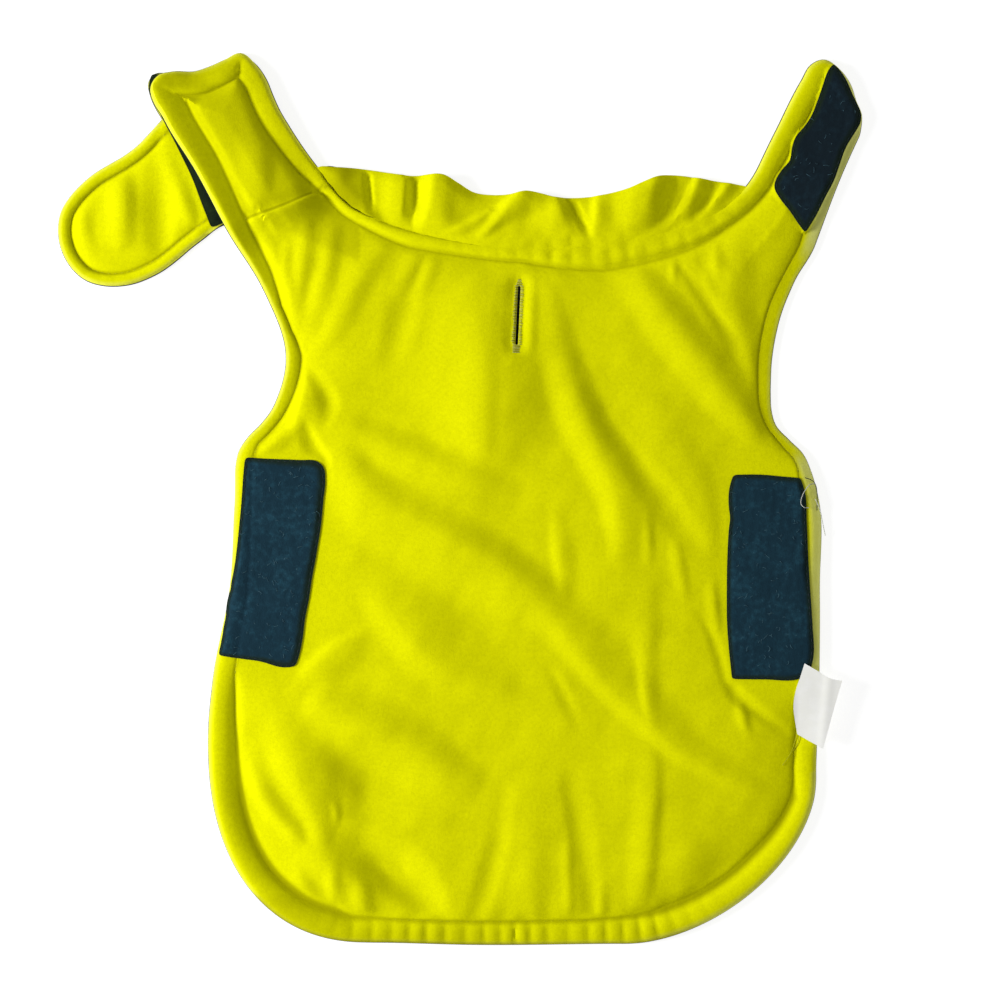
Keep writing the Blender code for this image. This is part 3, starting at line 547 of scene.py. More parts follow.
lining = {
    "loft": 3.4,              # how far the loose lining swells above the shell
    "strapLoft": 2.2, "strapFrom": 372, "strapFade": 25,
    "swell": 0.45, "ripple": 0.12,
    "pressed": 2.1,           # loft left under a sewn tape
    "pressFade": 22.0, "strapPressFade": 1.0,
    "tapeEdgeDip": 0.9,       # how much lower a tape lies at the vest's edge
    "leastHeight": 0.6,
    "thinnest": 0.3,          # where the topstitch pulls deep
    "spacing": 1.7, "underSpacing": 8.5,
    "seamRows": (-2.6, -1.8, -1.1, -0.5, 0, 0.5, 1.1, 1.8, 2.6),     # across the strap's seam
    "creases": [
        # right shoulder
        (60, 352, 8, 10, 0.6, 66, 344, 12, 15, 2.0, 76, 331, 15, 17, 3.4, 88, 315, 16, 17, 4.0,
         100, 300, 16, 17, 4.0, 112, 284, 14, 16, 3.4, 122, 270, 9, 12, 1.8, 129, 258, 6, 8, 0.2),
        (99, 350, 6, 3, 0.2, 101, 344, 9, 4, 0.6, 108, 334, 10, 5, 0.6, 115, 325, 7, 5, 0.4,
         119, 317, 5, 4, 0.1),
        (87, 352, 3, 3, -0.4, 95, 341, 4, 5, -0.9, 104, 328, 4, 6, -1.2, 114, 313, 5, 7, -1.0,
         121, 298, 6, 6, -0.3),
        (83, 357, 3, 3, 0.5, 83, 350, 3, 3.5, 0.9, 83, 344, 3, 3, 0.2),
        (105, 363, 4, 4, 0.5, 105, 354, 5, 5, 1.3, 106, 347, 4, 4, 0.4),
        (116, 368, 12, 9, 0.4, 113, 350, 15, 10, 1.6, 118, 326, 11, 12, 0.9, 124, 302, 8, 10, 0.3),
        # middle
        (18, 340, 7, 10, 0.5, 22, 318, 11, 13, 1.7, 27, 299, 13, 15, 3.0, 33, 281, 14, 16, 4.2,
         41, 263, 15, 16, 4.6, 50, 246, 18, 15, 4.2, 54, 231, 22, 13, 3.3, 56, 215, 22, 11, 2.3,
         55, 201, 12, 8, 0.4),
        (55, 266, 7, 9, -0.2, 63, 254, 8, 11, -0.8, 72, 241, 10, 13, -1.6, 83, 226, 10, 13, -1.7,
         93, 210, 8, 10, -0.9, 99, 202, 6, 6, -0.1),
        (58, 325, 12, 14, 0.1, 66, 292, 14, 16, 0.5, 82, 262, 13, 15, 0.7, 95, 244, 10, 10, 0.6,
         101, 222, 7, 8, 0.5, 103, 206, 5, 6, 0.1),
        (69, 224, 4, 4, 0.2, 70, 211, 4, 5, 0.8, 70, 199, 4, 4, 0.3),
        (84, 209, 4, 5, 0.3, 86, 197, 5, 7, 1.0, 89, 181, 4, 5, 0.3),
        # broad swell left of the slit
        (-28, 346, 26, 26, 0.5, -20, 332, 32, 34, 3.2, -13, 314, 38, 42, 5.4, -12, 291, 42, 44, 6.8,
         -13, 272, 42, 42, 6.2, -14, 258, 36, 32, 3.5, -16, 247, 24, 22, 0.4),
        (-22, 332, 9, 12, 0.1, -18, 316, 10, 18, 0.7, -16, 298, 10, 22, 1.1, -16, 280, 10, 22, 1.3,
         -16, 264, 9, 18, 1.0, -15, 251, 8, 9, 0.1),
        (-98, 271, 8, 8, 0.2, -82, 267, 11, 12, 1.7, -62, 258, 13, 14, 2.8, -45, 252, 13, 14, 3.0,
         -26, 246, 13, 14, 2.3, -5, 240, 10, 10, 0.4),
        # long diagonal
        (-92, 262, 10, 12, 0.3, -86, 250, 13, 18, 1.8, -72, 232, 17, 26, 3.3, -42, 214, 19, 30, 4.4,
         -14, 199, 19, 30, 5.0, 2, 188, 17, 26, 5.2, 13, 181, 17, 20, 4.2, 22, 170, 20, 15, 3.2,
         33, 156, 22, 12, 2.9, 51, 134, 22, 11, 2.8, 72, 115, 19, 10, 2.5, 87, 101, 15, 9, 2.1,
         103, 92, 12, 8, 1.8, 119, 84, 10, 8, 1.2, 134, 78, 6, 6, 0.1),
        (22, 227, 6, 5, 0.2, 23, 209, 10, 6, 1.1, 25, 196, 10, 6, 1.2, 26, 183, 6, 5, 0.2),
        (-76, 190, 14, 10, 0.2, -69, 180, 22, 14, 1.9, -54, 163, 30, 17, 3.4, -40, 149, 32, 18, 3.6,
         -20, 137, 26, 16, 2.4, 3, 125, 12, 10, 0.4),
        (18, 145, 4, 4, -0.1, 25, 132, 5, 6, -0.9, 33, 115, 5, 5, -0.2),
        (-108, 130, 9, 12, 0.5, -100, 125, 16, 18, 2.6, -85, 117, 20, 20, 4.4, -67, 109, 21, 21, 5.0,
         -49, 99, 20, 20, 4.2, -33, 90, 16, 16, 2.6, -16, 82, 9, 9, 0.3),
        (-76, 163, 12, 4, 0.3, -90, 156, 18, 6, 1.9, -103, 146, 17, 6, 2.0, -112, 138, 8, 4, 0.3),
        # right lower body
        (69, 192, 8, 12, 0.2, 69, 165, 9, 13, 1.1, 68, 145, 9, 6, 1.3, 69, 129, 9, 5, 1.3,
         71, 118, 6, 4, 0.3),
        (70, 107, 6, 8, 0.1, 72, 91, 7, 12, 0.9, 72, 78, 7, 13, 1.5, 70, 60, 8, 13, 1.8,
         68, 39, 8, 12, 1.6, 65, 24, 8, 9, 1.2, 63, 14, 6, 6, 0.3),
        (103, 190, 4, 5, 0.2, 104, 178, 4, 6, 1.1, 106, 165, 4, 4, 0.5),
        (96, 173, 3, 3, -0.2, 103, 160, 4, 4, -0.8, 110, 142, 5, 6, -1.0, 116, 130, 6, 6, -1.8,
         124, 123, 6, 5, -1.7, 134, 116, 5, 5, -0.9, 146, 107, 4, 4, -0.2),
        (117, 127, 4, 4, 0.3, 119, 118, 4, 5, 1.3, 122, 109, 4, 4, 0.3),
        (88, 60, 12, 12, 0.1, 92, 44, 14, 16, 0.9, 88, 28, 10, 12, 0.3),
        # left hem corner
        (-124, 122, 16, 12, 0.4, -118, 108, 22, 15, 2.2, -113, 94, 24, 17, 3.6, -107, 78, 22, 14, 3.8,
         -102, 64, 14, 10, 2.4, -99, 52, 7, 6, 0.3),
        (-74, 112, 24, 20, -0.4, -71, 99, 34, 27, -2.0, -72, 87, 36, 29, -3.0, -75, 75, 30, 24, -2.6,
         -79, 63, 18, 15, -1.0),
        (-93, 74, 2.5, 3, 0.3, -92, 69, 3, 3, 0.8, -92, 64, 2.5, 3, 0.3),
        (-137, 98, 8, 6, 0.4, -133, 84, 12, 8, 2.4, -126, 72, 12, 8, 2.8, -116, 60, 10, 7, 1.9,
         -109, 53, 5, 5, 0.2),
        (-112, 50, 22, 10, 0.4, -98, 40, 26, 12, 1.8, -84, 28, 24, 12, 1.8, -72, 16, 14, 8, 0.6),
        (-96, 58, 9, 12, -0.6, -82, 50, 15, 16, -3.0, -69, 43, 18, 18, -4.6, -57, 35, 18, 18, -4.8,
         -47, 25, 15, 15, -3.8, -40, 14, 10, 10, -1.6),
        (-94, 42, 6, 5, 0.3, -94, 33, 7, 6, 1.5, -93, 24, 7, 5, 1.2, -92, 17, 5, 4, 0.3),
        (-80, 36, 6, 6, 0.2, -79, 26, 8, 7, 1.4, -77, 16, 7, 7, 0.9),
        (-112, 42, 8, 5, 0.2, -110, 33, 9, 6, 1.1, -107, 25, 7, 5, 0.5),
        # hem
        (-4, 86, 8, 7, -0.2, -6, 70, 8, 8, -0.8, -9, 49, 8, 9, -1.2, -14, 31, 8, 9, -1.3,
         -20, 16, 7, 8, -0.8),
        (27, 93, 10, 6, -0.2, 30, 78, 11, 7, -0.9, 34, 60, 11, 8, -1.1, 38, 39, 9, 8, -1.1,
         41, 15, 8, 7, -1.1),
        (28, 60, 3, 4, 0.1, 28, 40, 4, 5, 0.8, 29, 20, 4, 5, 0.6),
        (10, 62, 10, 12, 0.1, 9, 42, 13, 14, 1.0, 8, 20, 12, 13, 1.2),
        (45, 31, 5, 4, 0.2, 45, 18, 6, 4, 1.1),
        # fan of pleats below the left of the neck
        (-118, 365, 4, 4, 0.3, -118, 348, 5, 5, 0.9, -115, 330, 4, 5, 0.3),
        (-107, 372, 6, 6, 0.6, -110, 355, 7, 7, 1.4, -112, 341, 6, 7, 1.1, -113, 327, 5, 5, 0.3),
        (-94, 370, 7, 6, 0.6, -97, 351, 8, 7, 1.5, -101, 335, 8, 8, 1.3, -106, 316, 5, 7, 0.4),
        (-66, 366, 8, 9, 0.5, -77, 351, 10, 13, 1.6, -85, 338, 11, 15, 2.0, -92, 322, 10, 12, 1.7,
         -102, 309, 6, 8, 0.4),
        (-47, 363, 5, 7, 0.5, -54, 351, 6, 9, 1.2, -60, 339, 6, 6, 0.4),
        (-41, 363, 6, 6, 0.4, -44, 350, 7, 6, 1.0, -50, 337, 6, 5, 0.3),
        (-50, 350, 7, 7, -0.3, -54, 339, 9, 10, -1.0, -58, 326, 11, 12, -1.6, -62, 311, 10, 10, -1.1,
         -67, 298, 7, 7, -0.2),
        # left waist
        (-114, 302, 8, 5, 0.5, -113, 293, 15, 5, 2.6, -112, 283, 18, 5, 3.6, -113, 273, 15, 5, 1.8,
         -115, 266, 6, 5, 0.3),
        (-108, 300, 5, 3, -0.3, -101, 292, 6, 6, -1.0, -96, 283, 7, 8, -1.6, -96, 276, 6, 7, -1.1,
         -99, 269, 3, 5, -0.2),
        (-109, 273, 3, 4, -0.2, -104, 262, 4, 9, -2.5, -98, 253, 4, 8, -1.6),
        (-113, 272, 7, 4, 0.4, -123, 263, 8, 5, 2.0, -136, 255, 6, 4, 0.8),
        # beside the slit
        (9, 345, 5, 5, 0.3, 8, 330, 6, 5, 1.0, 8, 312, 5, 5, 0.4),
        (-4, 340, 5, 7, -0.3, -5, 325, 5, 8, -0.9, -4, 305, 5, 7, -0.3),
        # left strap, inside its stitched rectangle
        (-168, 440, 32, 4, 1.6, -152, 410, 32, 4, 2.4, -134, 384, 26, 4, 2.0),
        (-138, 384, 14, 4, 0.6, -131, 364, 14, 4, 1.4, -124, 346, 12, 4, 1.2, -119, 332, 8, 4, 0.3),
        (-137, 425, 9, 11, 0.3, -132, 408, 10, 13, 1.9, -131, 390, 8, 11, 1.2),
    ],
    "leans": [                # where the whole strap leans over, rim and all
        (-192, 464, 34, 4, 1.4, -189, 442, 38, 4, 3.8, -172, 410, 36, 4, 4.6, -154, 380, 30, 4, 3.4,
         -139, 354, 14, 4, 1.0, -128, 338, 7, 4, 0.1),
        (-188, 464, 30, 3, 1.6, -187, 450, 30, 3, 2.8, -185, 438, 22, 3, 0.6),
    ],
    # painted shade along the strap's cross seam
    "seamLine": (-138, 377.6, 1.6, 1.3, 0.9, -120, 384, 1.6, 1.3, 0.95, -98, 394.4, 1.6, 1.3, 0.9),
    "shades": [               # painted shade where the folds turn from the light
        (-98, 108, 8, 8, 0.05, -92, 96, 12, 12, 0.38, -82, 80, 10, 9, 0.48, -84, 68, 5, 6, 0.15),
        (-134, 92, 4, 5, 0.05, -127, 79, 6, 8, 0.36, -119, 68, 6, 7, 0.32, -113, 61, 4, 4, 0.05),
        (-111, 41, 5, 5, 0.05, -105, 30, 6, 6, 0.32, -98, 21, 5, 5, 0.05),
        (-79, 47, 6, 6, 0.05, -69, 35, 8, 7, 0.34, -60, 26, 8, 7, 0.34, -49, 20, 5, 5, 0.05),
        (86, 353, 2.5, 3, 0.1, 97, 341, 3, 5, 0.32, 105, 327, 3, 8, 0.36, 116, 314, 3, 7, 0.26,
         123, 304, 2, 4, 0.05),
        (110, 356, 5, 7, 0.05, 114, 344, 7, 8, 0.18, 121, 328, 6, 8, 0.2, 126, 312, 5, 5, 0.05),
        (95, 361, 2, 3, 0.05, 96, 355, 2.5, 3, 0.3, 98, 349, 2, 2, 0.05),
        (108, 363, 2, 3, 0.05, 110, 356, 2.5, 3.5, 0.3, 112, 350, 2, 2, 0.05),
        (119, 363, 2, 3, 0.05, 120, 357, 2.5, 3, 0.25, 121, 351, 2, 2, 0.05),
    ],
    "seams": [                # the groove of the strap's cross seam, and the ridge beside it
        (-138, 377.6, 7, 1.6, -1.5, -120, 384, 7, 1.6, -1.7, -98, 394.4, 7, 1.6, -1.5),
        (-136, 376, 2, 7, 0.8, -119, 382, 2, 7, 1.0, -100, 391, 2, 7, 0.8),
    ],
}

slit = {
    "top": (2.8, 342.0), "foot": (1.4, 312.6), "width": 1.45,
    "lips": 3.6,              # how far the sewn lips reach from the opening
    "lipRows": (0.4, 0.9, 1.5, 2.2, 3.0),
    "lipRise": 0.35,
    "pull": 2.0, "pullReach": 8,              # the stitching pulls the cloth down round it
    "shellShift": -1.0,       # the shell's slit lies under the lining's left lip
}
slitCut = stadium(slit["top"], slit["foot"], slit["width"], 0.8)
slitLine = np.array((slit["top"], slit["foot"]))


def puckers(along, share, beyond, seed):
    # pillows that the topstitch pulls across the rim, and short ridges inward from it
    turns = along / rim["puckerLength"] + 0.16 * wander(along, 60, seed)
    pillow = np.abs(np.sin(math.pi * turns)) ** 0.6 - 0.6
    fan = np.sin(1.24 * math.pi * turns + 2.4 * wander(along, 70, seed + 1))
    uneven = 0.75 + 0.25 * wander(along, 38, seed + 2)
    across = np.where(share < 1, np.sin(math.pi * np.clip(share, 0, 1)) ** 0.5, 0)
    inward = np.where(share >= 1, np.exp(-beyond / 5.5) * smoothStep(beyond / 2.5), 0)
    return rim["pucker"] * uneven * (pillow * across * 1.5 + 0.5 * fan * inward)


def puckerStrength(points):
    # strongest along the middle of the hem, and clear on the right half of the neck
    x, y = points.T
    hem = fadeOut(y, 60, 20) * fadeIn(x, -105, 40) * fadeOut(x, 110, 50)
    neck = bell((x - 45) / 95) * fadeIn(y, 340, 15) * fadeOut(y, 405, 10)
    shares = rim["puckerShares"]
    return shares["all"] + shares["hem"] * hem + shares["neck"] * neck


def neckJoin(points):
    # 1 where the collar runs into the rim with no line between them
    x, y = points.T
    return fadeIn(x, -38, 26) * fadeOut(x, 114, 14) * fadeIn(y, 340, 10)


def joinHeight(points):
    return rim["joinHeight"] + rim["joinRipple"] * softNoise(points, 12, 77)


def backHeight(points):
    # upper side of the lining
    gap, along, width, roll, crest, sewn = rimPlace(points, backCut, backRim)
    share, beyond = gap / width, gap - width
    y = points[:, 1]
    onStrap = fadeIn(y, lining["strapFrom"], lining["strapFade"])
    roll = rim["roll"] * roll * np.clip((width / 12) ** 0.6, 0.7, 1.08)      # lower where it is narrow
    inRim = rim["edge"] + (sewn - rim["edge"]) * share + roll * rimShape(share, crest, sewn)
    outer = neckJoin(points) * smoothStep((crest * 1.3 - share) / (crest * 0.7))
    inRim = inRim + outer * (joinHeight(points) - inRim)
    loft = lining["loft"] + (lining["strapLoft"] - lining["loft"]) * onStrap
    inBody = sewn + (vest["fleeceWall"] + loft - sewn) * bodyShape(beyond, sewn)
    free = smoothStep(beyond / 5)
    swell = lining["swell"] * softNoise(points, 52, 4) + lining["ripple"] * softNoise(points, 17, 5)
    inBody = inBody + free * swell * (1 - 0.5 * onStrap)
    folds = creaseHeight(points, lining["creases"]) * free * (share >= 1)
    height = np.where(share < 1, inRim, inBody)
    height = height + puckerStrength(points) * puckers(along, share, beyond, 20)
    height = height + creaseHeight(points, lining["seams"]) * smoothStep(beyond / 1.5 + 0.2)
    height = height + creaseHeight(points, lining["leans"]) * smoothStep(gap / 2.5)
    for node in liningTapes:
        # pressed flat under the tape, with a little of the rim's roll showing through
        fade = lining["strapPressFade" if node == "strap_patch_right" else "pressFade"]
        cover = coverOf(points, tapeCuts[node], fade)
        folds = folds * (1 - coverOf(points, tapeCuts[node], 5.0))
        under = vest["fleeceWall"] + lining["pressed"] + 0.35 * (inRim - 2.6) * (share < 1)
        under = under - lining["tapeEdgeDip"] * (1 - smoothStep(gap / 5))
        height = height + cover * (under - height)
    height = height + folds
    slitGap = nearestOnLoop(points, slitCut)[0]
    height = height - slit["pull"] * bell(slitGap / slit["pullReach"])
    height = height + slit["lipRise"] * bell((slitGap - 1.1) / 1.3)
    return seamHeight + climbAt(points) + np.maximum(height, lining["leastHeight"])


shell = {
    "spacing": 4.2, "topSpacing": 6.5,
    "swell": 0.14,
    "seamDepth": 0.5, "seamInset": 13,        # the topstitch's groove, and how far in it runs
    "slitWidth": 0.4,
    "rows": (1.2, 3, 6, 9, 11, 12, 12.6, 13.4, 14, 15, 17, 20), "topRows": (1.2, 4),
    "creases": [              # all hollows, seen from below
        (-95, 300, 12, 9, 0.2, -40, 262, 12, 9, 1.2, 10, 231, 12, 9, 0.3),
        (30, 330, 9, 12, 0.2, 66, 285, 9, 12, 1.3, 112, 252, 9, 12, 0.4),
        (-70, 200, 13, 8, 0.3, -15, 172, 13, 8, 1.4, 52, 166, 13, 8, 0.2),
        (60, 215, 8, 10, 0.2, 72, 160, 8, 10, 1.0, 64, 96, 8, 10, 0.2),
        (-100, 90, 9, 11, 0.3, -62, 66, 9, 11, 1.2, -18, 60, 9, 11, 0.3),
        (-30, 130, 10, 7, 0.2, 8, 96, 10, 7, 1.1, 40, 52, 10, 7, 0.4),
        (90, 120, 7, 9, 0.3, 112, 88, 7, 9, 0.9, 124, 52, 7, 9, 0.2),
        (-120, 150, 8, 7, 0.2, -96, 170, 8, 7, 0.9, -80, 205, 8, 7, 0.3),
        (-60, 345, 6, 8, 0.4, -66, 318, 6, 8, 0.9, -80, 296, 6, 8, 0.2),
        (70, 350, 7, 5, 0.4, 80, 330, 7, 5, 0.8, 84, 306, 7, 5, 0.2),
    ],
}


def shellCreases(points):
    # shallow hollows under the vest, none at its edge
    gap = nearestOnLoop(points, backCut)[0]
    swell = shell["swell"] * np.clip(softNoise(points, 34, 9), 0, 2)
    folds = creaseHeight(points, shell["creases"]) + swell
    seam = shell["seamDepth"] * bell((gap - shell["seamInset"]) / 2.4)
    return np.clip(folds, 0, 1.5) * fadeIn(gap, 9, 8) + seam


def backUnder(points):
    lowest = climbAt(points) + seamHeight + shellCreases(points) + 0.05
    top = backHeight(points)
    return np.minimum(np.maximum(lowest, top - drawnFleece), top - lining["thinnest"])


def beyondRim(points, margin):
    # keeps the points that lie inside the rim's rows
    gap, _, width = rimPlace(points, backCut, backRim)[:3]
    return points[gap > rim["rows"][-1] * width + margin]


def clearOf(points, loop, margin):
    # keeps the points that lie clear of a loop or line
    return points[nearestOnLoop(points, loop)[0] > margin]


# points of the lining's mesh: rows along the rim, the slit's lips and the strap's seam, and a grid
rings = clearOf(ringsInside(backCut, backRim, rim["rows"], 1.5), slitCut, slit["lips"])
lips = np.concatenate([slitCut + inwardFrom(slitCut) * step for step in slit["lipRows"]])
seamSpots = smoothLine(lining["seamLine"], 5, 12)[:, :2]
seamRows = [seamSpots + (0.39 * step, -0.92 * step) for step in lining["seamRows"]]
seamRows = beyondRim(np.concatenate(seamRows), 0)
inner = beyondRim(gridInside(backCut, lining["spacing"], 3, [slitCut]), 0.8)
inner = clearOf(clearOf(inner, slitCut, slit["lips"]), seamSpots, 3.2)
under = np.concatenate((gridInside(backCut, lining["underSpacing"], 5, [slitCut]),
                        ringsInside(backCut, backRim, rim["underRows"], 4)))
backLining = clothPiece("back_lining_cloth", [backCut, slitCut],
                        np.concatenate((rings, lips, inner, seamRows)),
                        clearOf(under, slitCut, slit["lips"]), backHeight, backUnder,
                        ["back_lining"])

# painted light on the lining: a painted shade and a painted sheen, each from 0 to 1
paintedLight = {
    "groove": 0.7, "deepGroove": 0.3,         # painted shade along the topstitch, and darker where it pulls deep
    # painted shade over the hem's rim and along its outer edge
    "hem": 0.36, "hemEdge": 0.8,
    "strap": 0.14, "strapOuter": 0.24,        # painted shade where the left strap leans away from the light
    # painted shade beside the strap's stitched rectangle and on its tip
    "strapInset": 0.3, "strapTip": 0.4,
    "tapeSide": 0.75, "strapSide": 0.95,      # painted sheen, palest on the right side's rim
    # painted sheen along the edges and round the right hem corner
    "edge": 0.3, "hemCorner": 0.35,
}


def neckShare(points):
    # 1 along the neck seam
    x, y = points.T
    return fadeIn(y, 345, 8) * fadeIn(x, -120, 20) * fadeOut(x, 125, 8)


def strapPaintedShade(points, gap, width):
    # painted shade on the left strap's face, beside its stitched rectangle and on its tip
    x, y = points.T
    across = 0.77 * (x + 143) + 0.64 * (y - 415)          # from the strap's middle line
    onStrap = fadeIn(0.4 * x + y, 322, 3) * (x < -80)
    face = paintedLight["strap"] + paintedLight["strapOuter"] * fadeIn(across, -12, 30)
    inset = paintedLight["strapInset"] * (across < 0) * bell((gap - width - 2) / 3.5)
    tip = paintedLight["strapTip"] * fadeIn(y, 440, 6) * fadeOut(x, -152, 10)
    return np.maximum((face * np.where(gap > width, 1, 0.35) + inset) * onStrap, tip)


def paintedShade(points):
    # painted shade in the grooves, on folds turned from the light, over the hem and its edge, and on the
    # left strap
    x, y = points.T
    gap, _, width, _, _, sewn = rimPlace(points, backCut, backRim)
    deep = fadeOut(sewn, 0.7, 0.3) * (y < 110)
    groove = bell((gap - (0.98 - 0.1 * deep) * width) / (2.0 + 2.6 * deep))
    groove = groove * (paintedLight["groove"] + paintedLight["deepGroove"] * deep) * (1 - 0.2 * neckShare(points))
    folds = creaseHeight(points, [lining["seamLine"]] + lining["shades"])
    hem = fadeOut(y, 14 + 16 * fadeOut(x, -80, 25), 8)
    hemSide = (0.55 + 0.45 * fadeOut(x, 20, 60)) * fadeOut(x, 110, 40) * (gap < width)
    hemTint = paintedLight["hem"] * hem * hemSide + paintedLight["hemEdge"] * hem * bell(gap / 2.2)
    return np.maximum.reduce((groove, folds, hemTint, strapPaintedShade(points, gap, width)))


def paintedSheen(points):
    # painted sheen along the edges, palest on the right side's rim
    x, y = points.T
    gap = nearestOnLoop(points, backCut)[0]
    besideTape = fadeIn(x, 142, 6) * fadeIn(y, 118, 8) * fadeOut(y, 258, 10)
    strapSide = fadeIn(x, 146, 6) * fadeIn(y, 352, 20) * (x + 0.45 * (430 - y) > 158)
    sides = paintedLight["tapeSide"] * besideTape + paintedLight["strapSide"] * strapSide
    edge = paintedLight["edge"] * bell(gap / 2.5) * (1 - neckShare(points))
    hemCorner = paintedLight["hemCorner"] * bell(gap / 4) * fadeIn(x, 60, 25) * (y < 90)
    return np.clip((1 - fadeIn(gap, 3, 4)) * sides + edge + hemCorner, 0, 1)


# painted shade and painted sheen laid on the lining
addAttribute(backLining, "seamed", paintedShade(panelPlaces(backLining)))
addAttribute(backLining, "faded", paintedSheen(panelPlaces(backLining)))

# woven shell under the back

shellCut = spreadStrap(smoothLoop(cutLoops("back_shell")[0], 1.8))
shellSlit = stadium(slit["top"], slit["foot"], shell["slitWidth"], 1.2) + (slit["shellShift"], 0)
shellRings = rowsInside(shellCut, shell["rows"], 1.2)
shellRings = shellRings[isInside(shellRings, shellCut)]
shellInner = gridInside(shellCut, shell["spacing"], 22, [shellSlit])
shellTopSpots = np.concatenate((rowsInside(shellCut, shell["topRows"], 2.0),
                                gridInside(shellCut, shell["topSpacing"], 6, [shellSlit])))


def shellTop(points):
    return climbAt(points) + vest["shellWall"] + shellCreases(points)


def shellUnder(points):
    return climbAt(points) + shellCreases(points)


backShell = clothPiece("back_shell_cloth", [shellCut, shellSlit], shellTopSpots,
                       np.concatenate((shellRings, shellInner)), shellTop, shellUnder,
                       ["back_shell"])

# gathered collar

collar = {
    "spacing": 1.5, "underSpacing": 3, "shellSpacing": 2.4,
    "rows": (0.35, 0.9, 1.6, 2.5),
    "loft": 1.1,
    "ripple": 0.22,
    "edgeRound": 3.5,         # from its free edge to the full wall
    "seamReach": 9,           # how far from the neck seam it is held down
    "seamHeight": 2.0, "leftEndRise": 5.0,    # height at the neck seam, and more at its left end
    "neckSide": 1.2,          # an edge this near the back is sewn to it
    "liningTuck": -0.3, "shellTuck": 0.6, "shellInset": 0.7,
    # pleats, from the neck seam up to the free edge
    "creases": [
        (-93, 390, 4, 24, 5.0, -98, 396, 4, 28, 6.4, -104, 404, 4, 30, 6.6),
        (-74, 381, 4, 2, -1.0, -74.5, 390, 4, 2, -2.2, -75.5, 400, 4, 2, -2.2),
        (-60, 375, 14, 4, 1.2, -58, 386, 16, 4, 3.0, -57, 398, 16, 4, 3.2),
        (-53, 371, 4, 2, -1.0, -51.5, 384, 4, 2, -2.2, -51, 399, 4, 2, -2.2),
        (-47, 369, 8, 22, 1.6, -43, 384, 9, 27, 5.6, -40, 401, 10, 28, 6.4),
        (-36, 369, 3, 5, 1.0, -24, 374.5, 3, 6, 2.0, -12, 381, 3, 5, 1.6),
        (-16, 369, 5, 3, 1.2, -9, 377, 5, 6, 3.4, -1, 386, 6, 13, 5.2, 3, 391, 5, 17, 5.4),
        (27, 372, 13, 6, 0.9, 24, 380, 15, 7, 3.0, 21, 389, 15, 7, 3.3),
        (39, 370, 4, 2.5, -1.2, 35, 378, 4, 3, -2.9, 29.5, 388.5, 4, 3, -3.0),
        (42, 370, 3, 8, 0.8, 43, 380, 4, 10, 2.4, 44, 391, 4, 10, 2.4),
        (61, 369, 26, 10, 1.4, 67, 384, 30, 14, 5.6, 71, 400, 28, 14, 6.4),
        (73, 368, 7, 2.5, -1.2, 82, 380, 8, 3, -3.2, 91, 399, 8, 3, -3.6),
        (79, 370, 3, 7, 1.0, 88, 382, 4, 9, 3.2, 96, 398, 4, 9, 3.4),
        (92, 373, 6, 2.5, -0.8, 98, 382, 6, 3, -2.0, 106, 394, 6, 3, -2.2),
        (98, 376, 3, 7, 0.6, 105, 386, 4, 8, 2.0, 112, 396, 4, 8, 2.0),
    ],
    "shades": [               # painted shade on the pleats that turn from the light
        (-85, 378, 22, 11, 0.55, -87, 392, 22, 11, 0.75, -88, 408, 22, 11, 0.75),
        (-51, 396, 3, 1.5, 0.25, -50.5, 384, 3, 1.5, 0.35, -51, 373, 2, 1.5, 0.05),
        (28, 389, 1.5, 4, 0.15, 32, 380, 1.5, 5, 0.35, 38, 373, 1.5, 3, 0.1),
        (92, 397, 1.5, 9, 0.25, 90, 388, 1.5, 10, 0.38, 86, 379, 1.5, 9, 0.38, 79, 371.5, 1.5, 6, 0.3,
         71, 366, 1.5, 3, 0.05),
        (104, 393, 1.2, 5, 0.2, 100, 384, 1.2, 5, 0.35, 92, 376, 1.2, 4, 0.1),
    ],
}


def collarRise(points):
    return creaseHeight(points, collar["creases"]) + collar["ripple"] * softNoise(points, 13, 31)


def tuckedUnder(loop, clearance):
    # moves the neck side of a loop up against the back's edge
    gap = nearestOnLoop(loop, backCut)[0]
    away = loop - backCut[nearestPoint(loop, backCut)]
    away /= np.maximum(np.hypot(*away.T), 1e-6)[:, None]
    return np.where((gap < collar["neckSide"])[:, None], loop - away * (gap - clearance)[:, None], loop)


collarCut = tuckedUnder(smoothLoop(cutLoops("collar_lining")[0], 1.3), collar["liningTuck"])
collarShellCut = tuckedUnder(smoothLoop(cutLoops("collar_shell")[0], 1.6), collar["shellTuck"])
collarShellCut = collarShellCut + collar["shellInset"] * inwardFrom(collarShellCut)


def collarShellUnder(points):
    # the shell follows the pleats, but not at the neck seam
    gap = nearestOnLoop(points, backCut)[0]
    return np.clip(collarRise(points) * 0.8 - 0.4, 0, 6) * smoothStep(gap / 6)


def collarShellTop(points):
    return collarShellUnder(points) + vest["shellWall"]


